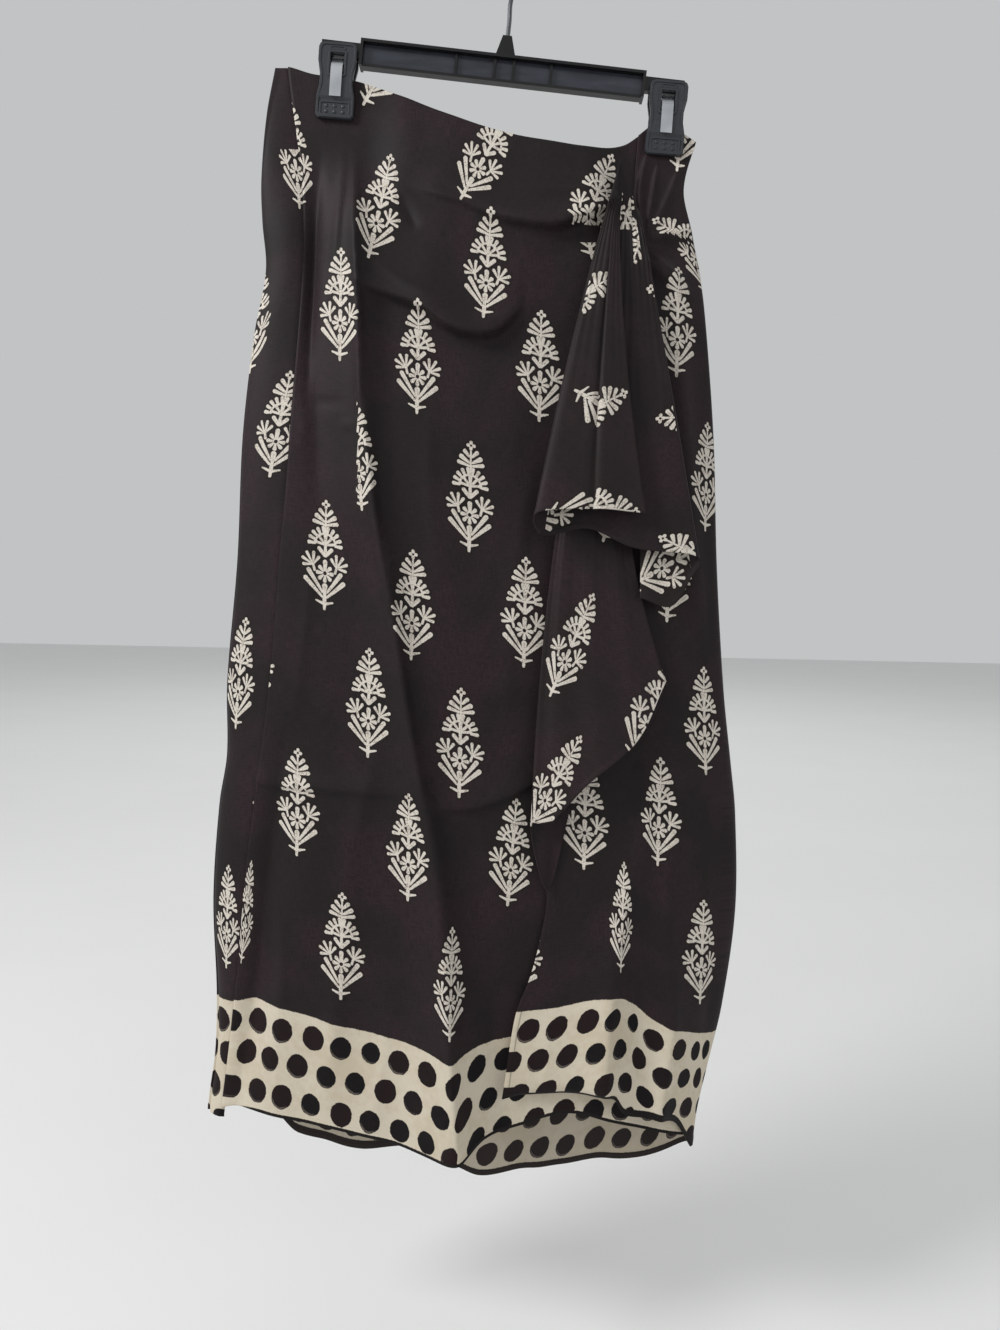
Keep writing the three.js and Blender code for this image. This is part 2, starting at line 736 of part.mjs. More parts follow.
function hanger() {
  const group = new THREE.Group();
  const frame = new THREE.Group();
  frame.rotation.y = hangerTilt;
  frame.add(named("hanger_bar", hangerBar(), palette.plastic));
  frame.add(named("hanger_hook", hangerHook(), palette.steel));
  group.add(frame);
  for (const clip of clips) {
    const padY = (layers) => clipHalfGap + layerStep * (layers - 1) + clothWall / 2 + clipEase;
    const place = new THREE.Group();
    place.position.set(clip.x, 0, clip.z);
    place.rotation.y = clipLean;
    const front = padY(clip.frontLayers);
    const back = padY(1);
    place.add(named(`clip_${clip.name}_front_jaw`, jawGeometry(-1, front), palette.plastic));
    place.add(named(`clip_${clip.name}_back_jaw`, jawGeometry(1, back), palette.plastic));
    place.add(named(`clip_${clip.name}_spring`, springGeometry(front, back), palette.steel));
    group.add(place);
  }
  return group;
}

function skirt() {
  const group = new THREE.Group();
  const down = evenly(30, closeAtWaist);
  const across = evenly(14, closeAtRight);
  const bare = evenly(16).map((t) => t - 1);
  const front = wallGeometry(frontSurface, [...bare.slice(0, -1), ...across], down);
  const back = wallGeometry(backSurface, evenly(24), evenly(20, closeAtWaist));
  const wrap = wallGeometry(backWrapSurface, evenly(6), evenly(20, closeAtWaist));
  const overlap = wallGeometry(overlapSurface, across, down);
  const upper = wallGeometry(cascadeSurface(upperCascade), evenly(27), evenly(12));
  const lower = wallGeometry(cascadeSurface(lowerCascade), evenly(15), evenly(14));
  group.add(named("front_panel", front, palette.cloth));
  group.add(named("back_panel", back, palette.cloth));
  group.add(named("back_wrap", wrap, palette.cloth));
  group.add(named("overlap_panel", overlap, palette.cloth));
  group.add(named("cascade_upper", upper, palette.cloth));
  group.add(named("cascade_lower", lower, palette.cloth));
  return group;
}

const part = new THREE.Group();
part.add(skirt(), hanger());

export default part;
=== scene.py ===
import math

import bmesh
import bpy
import numpy as np
from mathutils import Matrix, Vector


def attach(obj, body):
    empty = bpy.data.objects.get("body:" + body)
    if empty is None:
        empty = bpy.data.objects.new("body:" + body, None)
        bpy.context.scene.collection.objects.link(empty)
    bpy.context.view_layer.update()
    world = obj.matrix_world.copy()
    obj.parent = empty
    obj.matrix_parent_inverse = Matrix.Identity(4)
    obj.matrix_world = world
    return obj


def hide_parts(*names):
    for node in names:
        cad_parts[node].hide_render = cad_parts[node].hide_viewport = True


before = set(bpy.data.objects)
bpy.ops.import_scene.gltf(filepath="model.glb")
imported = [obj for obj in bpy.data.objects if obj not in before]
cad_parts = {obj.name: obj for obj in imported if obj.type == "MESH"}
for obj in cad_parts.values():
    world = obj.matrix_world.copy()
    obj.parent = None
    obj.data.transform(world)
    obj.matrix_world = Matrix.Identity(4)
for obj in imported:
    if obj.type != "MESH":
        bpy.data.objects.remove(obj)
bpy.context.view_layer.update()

millimetre = 0.001
print("frame loaded")


def addObject(name, data):
    item = bpy.data.objects.new(name, data)
    bpy.context.scene.collection.objects.link(item)
    return item


# the camera stands close in front of the skirt, a little above its middle, and leans slightly
photoCamera = dict(place=(-0.0037, -0.786, -0.5324), pitch=86.4, lean=1.18, lens=26.0, sensorHeight=36.0)


def makeCamera(facts):
    data = bpy.data.cameras.new("photoCamera")
    data.sensor_fit = "VERTICAL"
    data.sensor_height = facts["sensorHeight"]
    data.lens = facts["lens"]
    eye = addObject("photoCamera", data)
    pitch = Matrix.Rotation(math.radians(facts["pitch"]), 4, "X")
    lean = Matrix.Rotation(math.radians(facts["lean"]), 4, "Z")
    eye.matrix_world = Matrix.Translation(facts["place"]) @ (pitch @ lean)
    bpy.context.scene.camera = eye


makeCamera(photoCamera)
bpy.context.scene.view_settings.view_transform = "Standard"


# readers for the tables of the skirt's shape, in millimetres
def table(names, *rows):
    return {name: np.array([row[k] for row in rows], float) for k, name in enumerate(names.split())}


def column(rows, by, name):  # one column of a table, read smoothly by another
    order = np.argsort(rows[by])
    at, value = rows[by][order], rows[name][order]
    last = len(at) - 1
    before, after = np.clip(np.arange(last + 1) - 1, 0, last), np.clip(np.arange(last + 1) + 1, 0, last)
    slope = (value[after] - value[before]) / (at[after] - at[before])

    def read(t):
        t = np.clip(t, at[0], at[-1])
        k = np.clip(np.searchsorted(at, t, side="right") - 1, 0, last - 1)
        span = at[k + 1] - at[k]
        s = (t - at[k]) / span
        rise = s * s * (3 - 2 * s)
        bend = s * (1 - s) * ((1 - s) * slope[k] - s * slope[k + 1]) * span
        return value[k] + (value[k + 1] - value[k]) * rise + bend

    return read


def curve(*rows):  # a line through pairs of a place and its value
    return column(table("at value", *rows), "at", "value")


def lerp(a, b, t):
    return a + (b - a) * t


def smoothStep(x, low, high):
    t = np.clip((x - low) / (high - low), 0, 1)
    return t * t * (3 - 2 * t)


def plateau(distance, flat, fade):
    return 1 - smoothStep(np.abs(distance), flat, flat + fade)


def crease(t):  # a fold's section
    softness = 0.3
    return np.exp(2 * (softness - np.hypot(t, softness)))



def foldReader(steepRight, *rows):  # a long fold that runs down the cloth
    fold = table("z x height width", *rows)
    readers = [column(fold, "z", name) for name in ("x", "height", "width")]

    def read(x, z):
        middle, height, width = (reader(z) for reader in readers)
        side = (x - middle) / width
        return height * crease(np.where(side > 0, side / steepRight, side))

    return read


def swagReader(steepBelow, *rows):  # a fold that hangs across the cloth
    swag = table("x z height width", *rows)
    readers = [column(swag, "x", name) for name in ("z", "height", "width")]

    def read(x, z):
        middle, height, width = (reader(x) for reader in readers)
        rise = (z - middle) / width
        return height * crease(np.where(rise < 0, rise / steepBelow, rise))

    return read


def lineReader(x0, z0, x1, z1, x2, z2, height, width, steep=1.0):  # a small crease through three points
    steps = 12
    t = np.linspace(0, 1, steps + 1)
    weights = np.array([(2 * t - 1) * (t - 1), 4 * t * (1 - t), t * (2 * t - 1)])
    px, pz = np.array([x0, x1, x2]) @ weights, np.array([z0, z1, z2]) @ weights

    def read(x, z):
        best, along, side = np.full(np.shape(x), 1e6), np.zeros(np.shape(x)), np.zeros(np.shape(x))
        for k in range(steps):
            dx, dz = px[k + 1] - px[k], pz[k + 1] - pz[k]
            h = np.clip(((x - px[k]) * dx + (z - pz[k]) * dz) / (dx * dx + dz * dz), 0, 1)
            ox, oz = x - px[k] - h * dx, z - pz[k] - h * dz
            distance = np.hypot(ox, oz)
            closer = distance < best
            best = np.where(closer, distance, best)
            along = np.where(closer, (k + h) / steps, along)
            side = np.where(closer, dx * oz - dz * ox, side)
        ends = np.sin(np.pi * np.clip(along, 0, 1)) ** 0.7
        return height * ends * crease(best / np.where(side > 0, width * steep, width))

    return read


def total(*readers):
    return lambda x, z: sum(read(x, z) for read in readers)


def creases(*rows):
    return total(*[lineReader(*row) for row in rows])


# the skirt's shape
cloth = dict(
    thickness=0.55, hemThickness=1.15, hemHeight=5.0,
    clipHalfGap=1.0, layerStep=1.8, seamGap=0.5, sideHalfGap=0.8, sideStep=4.0, ringPower=2.4,
    clipLean=math.radians(3.3), jawHeight=57.0, pressHalfWidth=24.0, pressFade=40.0, pressDrop=(8.0, 84.0),
    clips=((-140.0, -96.0), (120.0, -119.5)),
)
tubeSections = table(
    "z left right depth",
    (-112, -190, 146, 6), (-150, -197, 146, 12), (-200, -201, 134, 24), (-232, -200, 141, 30),
    (-270, -197, 150, 34), (-320, -206, 157, 38), (-400, -215, 165, 44), (-500, -219, 171, 50),
    (-600, -227, 180, 56), (-660, -227, 188, 60), (-700, -233, 193, 62), (-780, -238, 196, 64),
    (-860, -235, 188, 66), (-910, -236, 178, 66), (-960, -242, 169, 66), (-1040, -243, 165, 66),
)
seamAt = curve(  # x by z
    (-116, -181), (-230, -167), (-405, -175), (-500, -182), (-600, -189),
    (-746, -207), (-830, -214), (-865, -218), (-910, -223), (-960, -229),
)
waistAt = curve(  # z by x
    (-190, -114), (-176, -113), (-157, -118), (-142, -120), (-119, -124), (-91, -134), (-52, -149), (-12, -161.5),
    (35, -169.5), (67, -172), (86, -168), (98, -160), (106, -154), (118, -153), (132, -158), (146, -165),
)
frontHemAt = curve(
    (-242, -960), (-214, -951), (-159, -956), (-93, -966), (-53, -971), (-27, -970), (-8, -961),
    (21, -952), (62, -943), (94, -950), (168, -970),
)
backHemAt = curve(
    (-242, -962), (-195, -974), (-172, -999), (-117, -1014), (-71, -1008), (-34, -1026), (-10, -1036),
    (36, -1032), (60, -1024), (95, -1013), (129, -1008), (150, -998), (168, -984),
)
overlapHemAt = curve(
    (5, -927), (31, -926), (78, -922), (92, -924), (104, -939), (135, -945), (151, -955), (168, -981),
)
edgeAt = curve(  # x by z
    (-160, 97), (-230, 92), (-330, 76), (-450, 56), (-600, 34), (-704, 24), (-730, 28), (-762, 37),
    (-796, 33), (-829, 25), (-856, 15), (-895, 9), (-927, 5),
)
standOffAt = curve((-150, 1.6), (-230, 2.6), (-400, 3), (-700, 4), (-860, 7), (-927, 9))

leftAt, rightAt, depthAt = (column(tubeSections, "z", name) for name in ("left", "right", "depth"))

frontRelief = total(
    foldReader(
        0.5,
        (-140, -128, 0, 14), (-175, -126, 4, 18), (-250, -122, 8, 24), (-330, -117, 9, 26), (-400, -110, 9, 26),
        (-460, -104, 9, 24), (-500, -94, 9, 24), (-555, -86, 9, 24), (-630, -74, 11, 26), (-715, -54, 14, 30),
        (-790, -43, 18, 36), (-904, -36, 26, 44), (-990, -27, 33, 48),
    ),
    foldReader(
        1, (-150, -160, 0, 12), (-190, -161, -5, 14), (-300, -158, -6, 16), (-420, -152, -4, 18), (-540, -146, 0, 20),
    ),
    foldReader(1, (-620, -172, 0, 16), (-720, -184, -7, 18), (-850, -198, -9, 18), (-960, -214, -4, 20)),
    swagReader(0.11,  # the drape's sharp lower edge
        (-124, -284, 0, 26), (-113, -288, 5, 30), (-98, -292, 7, 34), (-70, -303, 10, 36), (-51, -316, 12, 38),
        (-33, -322, 12, 38), (-15, -321, 10, 36), (-1, -311, 6, 30), (10, -296, 0, 24),
    ),
    swagReader(0.16,  # the tuck below the yoke
        (-82, -207, 0, 20), (-60, -214, 3, 22), (-39, -220, 5, 24), (-21, -228, 6.5, 26), (2, -234, 9, 26),
        (30, -237.5, 11, 26), (45, -233, 11, 26), (60, -227, 11, 26), (80, -219, 8, 24), (94, -213, 3, 20),
    ),
)
frontCreases = creases(
    (-128, -158, -119, -300, -116, -384, 5.0, 8, 0.25),  # the pleat that the left clip pinches
    (-117, -350, -104, -458, -88, -540, 4.0, 8, 0.3), (-94, -500, -76, -610, -54, -720, 3.4, 8, 0.35),
    (-58, -700, -44, -800, -36, -910, 2.2, 7, 0.5), (-36, -860, -33, -910, -27, -968, 3.0, 6, 0.8),
    (-138, -156, -136, -210, -142, -300, 2.8, 6, 0.6), (-152, -154, -158, -256, -161, -390, -5.6, 6),
    (-240, -677, -150, -682, -52, -685, 4.4, 4.2, 5.0),  # the long crease at the knee
    (-62, -686, -22, -693, 36, -666, 4.8, 4.4, 5.0), (-164, -379, -146, -376, -127, -378, -1.2, 3),
    (-133, -392, -125, -394, -117, -391, 1.1, 3), (-91, -214, -82, -228, -76, -242, -2.6, 6),
    (-112, -262, -70, -292, -38, -296, 1.8, 8), (-30, -312, 0, -306, 18, -290, 1.3, 7),
    (-60, -205, -30, -222, 6, -246, -1.4, 5), (84, -196, 44, -208, -10, -206, 1.8, 7),
    (88, -186, 60, -196, 24, -194, 1.3, 6), (10, -252, 26, -259, 46, -254, -1.5, 5),
    (-180, -250, -176, -330, -184, -410, 1.0, 8), (-150, -430, -160, -560, -172, -640, 1.2, 9),
    (-60, -372, -62, -440, -52, -520, 1.8, 14), (20, -420, 6, -520, 2, -640, 2.2, 15),
    (-60, -560, -20, -600, 18, -590, 1.4, 10), (-190, -760, -176, -830, -186, -930, 2.6, 13),
    (-120, -740, -128, -840, -140, -950, 2.6, 16), (-148, -268, -158, -350, -164, -420, 2.0, 12),
    (-96, -640, -112, -700, -122, -760, 1.8, 12), (-24, -690, -8, -740, 4, -800, 1.6, 12),
    (-84, -850, -92, -910, -98, -962, 1.5, 11), (-6, -800, -2, -880, 8, -948, -1.6, 12),
)
overlapRelief = total(
    foldReader(
        0.55, (-560, 150, 0, 24), (-690, 118, 4, 26), (-780, 98, 9, 28), (-860, 88, 15, 30), (-940, 86, 18, 30),
    ),
    foldReader(0.8, (-640, 150, 0, 18), (-760, 134, 4, 16), (-860, 141, 7, 16), (-950, 132, 9, 16)),
    foldReader(1, (-260, 122, 0, 16), (-330, 132, 5, 16), (-480, 150, 5, 18), (-600, 158, 0, 20)),
    swagReader(0.5, (92, -246, 0, 12), (108, -243, 4, 14), (134, -238, 4, 14), (144, -236, 0, 14)),
    swagReader(0.5, (92, -262, 0, 12), (110, -268, 4, 14), (136, -282, 4, 14), (150, -290, 0, 14)),
)
overlapCreases = creases(
    (142, -252, 124, -250, 106, -246, -1.6, 3.5), (146, -276, 126, -266, 108, -254, 2.0, 4.0),
    (140, -300, 124, -282, 108, -262, 1.4, 5.0),
    (104, -658, 138, -676, 192, -688, 4.4, 4.2, 5.0),  # the short crease at the knee
    (150, -470, 158, -540, 166, -620, 1.2, 9), (70, -600, 76, -700, 60, -800, 1.4, 14),
    (112, -700, 112, -790, 104, -860, 1.2, 8), (160, -720, 168, -800, 160, -900, 1.5, 10),
    (44, -860, 40, -896, 46, -926, 1.6, 9),
)
gather = creases(  # folds that the right clip and the cascade draw together
    (102, -244, 98, -208, 105, -174, 5.0, 6, 0.35), (104, -240, 108, -210, 113, -182, 3.6, 5, 0.4),
    (105, -242, 119, -214, 130, -184, 3.4, 6, 0.5), (106, -246, 124, -238, 144, -232, 3.8, 5, 0.5),
    (106, -252, 122, -268, 142, -284, 3.4, 5, 0.5),
)
backRelief = total(
    foldReader(1, (-180, -120, 0, 30), (-420, -130, 3, 34), (-1000, -150, 8, 38)),
    foldReader(1, (-200, -30, 0, 34), (-520, -45, -3, 38), (-1030, -60, -6, 40)),
    foldReader(1, (-180, 70, 0, 30), (-480, 55, 3, 36), (-1030, 25, 9, 40)),
    foldReader(1, (-300, 120, 0, 24), (-600, 118, -3, 30), (-1000, 105, -5, 32)),
)
backCreases = creases(
    (-128, -158, -132, -260, -120, -372, 2.0, 6, 0.6), (112, -182, 104, -250, 92, -330, 1.8, 6),
    (-110, -200, -30, -246, 70, -226, 1.6, 10, 0.6), (-90, -262, -20, -300, 60, -286, 1.3, 9, 0.6),
    (-170, -300, -176, -420, -168, -540, 1.2, 10), (-60, -360, -80, -500, -76, -640, 1.3, 14),
    (20, -420, 10, -560, 28, -700, 1.2, 13), (130, -380, 140, -500, 134, -640, 1.3, 10),
    (-200, -690, -100, -716, 10, -700, -1.3, 8), (40, -672, 110, -690, 180, -682, -1.2, 7),
    (-110, -760, -118, -880, -128, -1000, 1.8, 16), (80, -760, 74, -880, 62, -1016, 1.8, 15),
    (-20, -820, -14, -920, -22, -1030, -1.5, 13), (150, -800, 140, -900, 136, -1000, 1.6, 12),
)


def pressed(x, z):  # how much the clips press the cloth flat
    most = np.zeros(np.shape(x))
    for clipX, clipZ in cloth["clips"]:
        padX = clipX - cloth["jawHeight"] * math.sin(cloth["clipLean"])
        below = np.maximum(clipZ - cloth["jawHeight"] - z, 0)
        across = plateau(x - padX, cloth["pressHalfWidth"], cloth["pressFade"])
        most = np.maximum(most, across * plateau(below, *cloth["pressDrop"]))
    return most


def halfDepth(x, z, inset):
    left, right = leftAt(z) + inset, rightAt(z) - inset
    across = np.clip(2 * (x - left) / (right - left) - 1, -1, 1)
    return depthAt(z) / 2 * (1 - np.abs(across) ** cloth["ringPower"]) ** (1 / cloth["ringPower"])


def awayFromSides(x, z):
    return smoothStep(np.minimum(x - leftAt(z), rightAt(z) - x), 2, 26)


def ripple(x, z, phase):  # the slight unevenness of hanging cloth, a little more towards the hem
    wave = np.sin(x / 11.0 + np.sin(z / 71.0 + phase) * 1.7 + phase) * 0.30
    wave += np.sin(x / 6.3 - z / 57.0 + 2 * phase) * 0.16 + np.sin(z / 19.0 + x / 43.0 + phase) * 0.14
    return wave * lerp(1.0, 2.1, smoothStep(-z, 700, 1000))


def frontY(x, z):
    relief = (frontRelief(x, z) + frontCreases(x, z) + ripple(x, z, 0.4)) * awayFromSides(x, z)
    return -lerp(halfDepth(x, z, cloth["sideStep"]) + relief, cloth["clipHalfGap"], pressed(x, z))


def overlapY(x, z):
    turned = 1 - smoothStep(rightAt(z) - x, 6, 40)
    under = -frontY(x - cloth["sideStep"] * turned, z)
    relief = np.maximum(overlapRelief(x, z), 0) + overlapCreases(x, z) + ripple(x, z, 2.1) * 0.8
    step = np.maximum(lerp(standOffAt(z), 0.6, turned) + relief * awayFromSides(x, z), 0.9 - 0.3 * turned)
    return -under - lerp(step, cloth["layerStep"], pressed(x, z)) - gather(x, z)


def backY(x, z):
    relief = (backRelief(x, z) + backCreases(x, z) + ripple(x, z, 3.6)) * awayFromSides(x, z)
    return lerp(halfDepth(x, z, 0) + relief, cloth["clipHalfGap"], pressed(x, z))


def frontLine(s, z, inset):  # below 0 is left of the overlap's edge, 1 is the right side
    ends = np.where(s < 0, seamAt(z) + cloth["seamGap"], rightAt(z) - inset)
    return lerp(edgeAt(z), ends, np.abs(s))


hemRows = np.array([6.5, 5.4, 4.6, 3.4, 2.0, 0.8, 0])  # the hem's rows of points, by their distance from its edge
hemRoom = 9


def rowsDown(count, length, fine=(), ease=0.62):  # rows closer at the waist, at sharp creases and at the hem
    t = np.linspace(0, 1, count)
    t = lerp(t, t * t, ease) * (1 - hemRoom / length)
    for start, end, more in fine:
        t = np.concatenate([t[t < start], np.linspace(start, end, more), t[t > end]])
    return np.concatenate([t, 1 - hemRows / length])[:, None]


# meshes of cloth: two faces and a rim, with the print's own measures on each corner
def gridNormals(points):
    along, drop = np.gradient(points, axis=1), np.gradient(points, axis=0)
    normal = np.cross(drop, along)
    return normal / np.maximum(np.linalg.norm(normal, axis=2, keepdims=True), 1e-9)


def gridFaces(rows, columns):
    j, i = np.meshgrid(np.arange(rows - 1), np.arange(columns - 1), indexing="ij")
    j, i = j.ravel(), i.ravel()
    outer = np.stack([np.stack([j, j + 1, j + 1, j], 1), np.stack([i, i, i + 1, i + 1], 1)], 2)
    faces, sides = [outer, outer[:, ::-1]], [np.zeros(outer.shape[:2], int), np.ones(outer.shape[:2], int)]
    cells = [np.stack([j, i], 1)] * 2
    rim, lastRow, lastColumn = [], rows - 1, columns - 1
    for k in range(lastColumn):
        for row, ends, cell in ((0, [1, 0, 0, 1], 0), (lastRow, [0, 1, 1, 0], lastRow - 1)):
            rim.append(([(row, k), (row, k), (row, k + 1), (row, k + 1)], ends, (cell, k)))
    for k in range(lastRow):
        for at, ends, cell in ((0, [1, 1, 0, 0], 0), (lastColumn, [0, 0, 1, 1], lastColumn - 1)):
            rim.append(([(k, at), (k + 1, at), (k + 1, at), (k, at)], ends, (k, cell)))
    for parts, more in zip((faces, sides, cells), zip(*rim)):
        parts.append(np.array(more))
    return np.concatenate(faces), np.concatenate(sides), np.concatenate(cells)


def stepsAlong(points, axis):
    return np.linalg.norm(np.diff(points, axis=axis), axis=2)


def makeCloth(name, points, printAt, border, edge, hemBand, wrongSide=1.0):
    rows, columns = points.shape[:2]
    hem = 1 - smoothStep(edge.min(axis=2), cloth["hemHeight"] - 0.7, cloth["hemHeight"] + 0.5)
    thickness = lerp(cloth["thickness"], cloth["hemThickness"], hem)[..., None]
    out = gridNormals(points)
    both = np.stack([points + out * thickness / 2, points - out * thickness / 2])
    places, sides, cells = gridFaces(rows, columns)
    index = sides * rows * columns + places[..., 0] * columns + places[..., 1]
    mesh = bpy.data.meshes.new(name)
    mesh.from_pydata(both.reshape(-1, 3) * millimetre, [], index)
    for label, values in (("print", None), ("border", border), ("edge", edge)):
        layer = mesh.uv_layers.new(name=label)
        corner = printAt(places, cells) if values is None else values[places[..., 0], places[..., 1]]
        layer.data.foreach_set("uv", (corner * millimetre).reshape(-1).astype(np.float32))
    worn = np.repeat([0.0, wrongSide], rows * columns)
    for label, values in (("wrongSide", worn), ("hemBand", np.tile((hemBand * millimetre).ravel(), 2))):
        mesh.attributes.new(label, "FLOAT", "POINT").data.foreach_set("value", values.astype(np.float32))
    mesh.polygons.foreach_set("use_smooth", np.ones(len(index), bool))
    mesh.validate()
    mesh.update()
    across, downward = stepsAlong(points, 1), stepsAlong(points, 0)
    area = (0.5 * (across[1:] + across[:-1]) * 0.5 * (downward[:, 1:] + downward[:, :-1])).sum() * 1e-6
    print(f"{name}: {across.sum(1).max():.0f} mm wide, {downward.sum(0).max():.0f} mm long, about {area:.4f} m2")
    return addObject(name, mesh)


def enlist(piece, facts):  # its body, and the solids that it stands for, which it hides
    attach(piece, "root")
    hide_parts(*facts["nodes"])
    return piece


motifMiddle = 43.5  # the print's sprig is 87 mm tall, and stands on its foot at 0
motifReach = (23, 50)  # about how far a sprig's own ground reaches, across and up
noMotif = -500.0  # a place in the print where nothing is drawn


def sprigPlaces(*rows):
    # a place, its lean, how much a fold narrows it, the height in it that is there, and the cloth that it keeps to
    usual = (0, 0, 0, 1, motifMiddle, -400, 400, -1200, 0)
    return table("x z tilt narrow at low high bottom top", *[row + usual[len(row):] for row in rows])


def motifRows(motifs):
    return [dict(zip(motifs, row)) for row in zip(*motifs.values())]


def arcAlong(points):  # distance along each row from its first point
    return np.concatenate([np.zeros((points.shape[0], 1)), np.cumsum(stepsAlong(points, 1), 1)], 1)


def hangPrint(points, arc, motifs):  # each cell takes the nearest motif, measured along the cloth
    x, z = points[..., 0], points[..., 2]
    atMotif = np.stack([
        [np.interp(mx, x[j], arc[j]) + min(mx - x[j, 0], 0) for mx in motifs["x"]] for j in range(len(x))
    ])

    def read(places, cells):
        cx, cz = x[cells[:, 0], cells[:, 1]], z[cells[:, 0], cells[:, 1]]
        best, pick = np.full(len(cx), 1e9), np.zeros(len(cx), int)
        for k, own in enumerate(motifRows(motifs)):
            tilt = math.radians(own["tilt"])
            dx, dz = cx - own["x"], cz - own["z"]
            a = (dx * math.cos(tilt) - dz * math.sin(tilt)) * own["narrow"]
            b = dx * math.sin(tilt) + dz * math.cos(tilt) + own["at"] - motifMiddle
            outside = (cx < own["low"]) | (cx > own["high"]) | (cz < own["bottom"]) | (cz > own["top"])
            distance = np.where(outside, 1e8, np.hypot(a / motifReach[0], b / motifReach[1]))
            closer = distance < best
            best, pick = np.where(closer, distance, best), np.where(closer, k, pick)
        j, i = places[..., 0], places[..., 1]
        chosen = pick[:, None]
        tilt = np.radians(motifs["tilt"])[chosen]
        ds, dz = arc[j, i] - atMotif[j, chosen], z[j, i] - motifs["z"][chosen]
        a = (ds * np.cos(tilt) - dz * np.sin(tilt)) * motifs["narrow"][chosen]
        b = ds * np.sin(tilt) + dz * np.cos(tilt) + motifs["at"][chosen]
        return np.where((best > 1e7)[:, None, None], noMotif, np.stack([a, b], 2))

    return read


borderDots = dict(pitch=25.0, firstRow=17.5, rowStep=28.2, rows=4, halfWidth=8.7, halfHeight=9.7, chance=2.4)


def borderMeasures(points, topAt, facts, stretch=(1.0, 1.0)):  # along the hem, and above the border's top edge
    row = facts["hemRow"]  # the row of points that the dots are counted along, from the hem
    order = np.argsort(points[row, :, 0])
    along = np.interp(points[..., 0], points[row, order, 0], arcAlong(points)[row][order])
    return np.stack([(along - facts["dotStart"]) * stretch[0], (points[..., 2] - topAt) * stretch[1]], 2)


noEdge = 400.0  # the distance from a sewn side, where no side edge is turned


def frontSheet(s, facts, hemAt, inset, yAt):  # points from the waist to the hem, and their height along the cloth
    v = rowsDown(facts["rows"], facts["length"], facts["fine"])
    z = lerp(waistAt(frontLine(s, -150, 0)), hemAt(frontLine(s, -940, 0)), v)
    x = frontLine(s, z, inset)
    return np.stack([x, yAt(x, z), z], 2), (1 - v) * (z[0] - z[-1])


# front panel
frontFacts = dict(
    columns=122, hiddenColumns=30, rows=205, length=830, fine=((0.055, 0.1, 22), (0.17, 0.216, 22), (0.628, 0.684, 32)),
    hemRow=-22, dotStart=22.0, hemBand=2.6, nodes=["front_panel"], flat=(0.46, 0.87), area=0.344, held="hung",
    restsOn=["clip_left_front_jaw", "clip_right_front_jaw"],
)
frontBorderAt = curve(
    (-242, -863), (-226.5, -862), (-214.4, -862), (-199.8, -860), (-159.4, -866), (-118.9, -875), (-78.3, -881.5),
    (-52, -886.5), (-35.9, -891.5), (-24, -888.5), (-13.4, -885), (12.3, -879), (60, -868), (120, -868), (170, -876),
)
frontMotifs = sprigPlaces(
    (-174.5, -180, -7, 1.5), (-203, -576, 3), (-206.5, -787, 6, 3.1),
    (-121, -141, 30, 1, 0), (-134, -301), (-144, -496), (-164, -694),
    (-105, -223, 11), (-118, -418, -6, 1, motifMiddle, -119), (-107, -612), (-126, -808),
    (-73, -341), (-74, -534), (-73, -725), (-20, -268, 3), (-30, -448), (-34, -642), (-37, -829.5, 0, 1.2),
    (23, -345), (15, -538), (9, -729, 4),
    (-29, -193, 28, 1, 29.2), (58, -230, 20, 1, 29.2, 20, 400, -234), (62, -261, -12, 1, 0, 40, 400, -400, -248),
    (64, -448), (60, -642), (62, -838), (105, -540), (105, -735), (150, -450), (150, -645), (150, -840),
)


def makeFrontPanel(facts):
    bare = np.linspace(-1, 0, facts["columns"])[:-1]
    s = np.concatenate([bare, np.linspace(0, 1, facts["hiddenColumns"])])[None, :]
    points, rise = frontSheet(s, facts, frontHemAt, cloth["sideStep"] + 2, frontY)
    x = points[..., 0]
    border = borderMeasures(points, frontBorderAt(x), facts)
    edge = np.stack([np.full(x.shape, noEdge), rise], 2)
    band = facts["hemBand"] * smoothStep(x, -218, -190)
    piece = makeCloth("front_cloth", points, hangPrint(points, arcAlong(points), frontMotifs), border, edge, band)
    return enlist(piece, facts)


frontCloth = makeFrontPanel(frontFacts)

# overlap panel
overlapFacts = dict(
    columns=84, rows=205, length=790, fine=((0.618, 0.66, 24),), hemRow=-18, dotStart=11.5, dotShear=0.15,
    dotStretch=(1.09, 1.1), hemBands=(3.6, 5.6),
    roll=dict(middle=52, reach=(30, 22), height=13, inward=4.5, upward=2.5),  # where the hem turns in under itself
    nodes=["overlap_panel"], flat=(0.21, 0.85), area=0.125, held="hung", restsOn=["clip_right_front_jaw"],
)
overlapBorderAt = curve(
    (0, -856.5), (14.9, -856), (46.1, -851.5), (73.9, -843), (92, -840.5), (107.7, -848), (124.9, -862),
    (154.9, -875), (173.4, -881), (190, -882),
)
overlapMotifs = sprigPlaces(
    (66, -697), (97, -777, 1, 1.9), (130, -308), (125, -694), (128, -500), (158, -427), (161.5, -622, -3),
    (164.5, -810),
    (128, -188, 6, 1, 0), (112, -229, -66, 1, 83, 100, 400, -238.5), (147, -264, -25, 1.5, 20, 128, 400, -286, -242),
    (17, -802, 8), (86, -590),
)


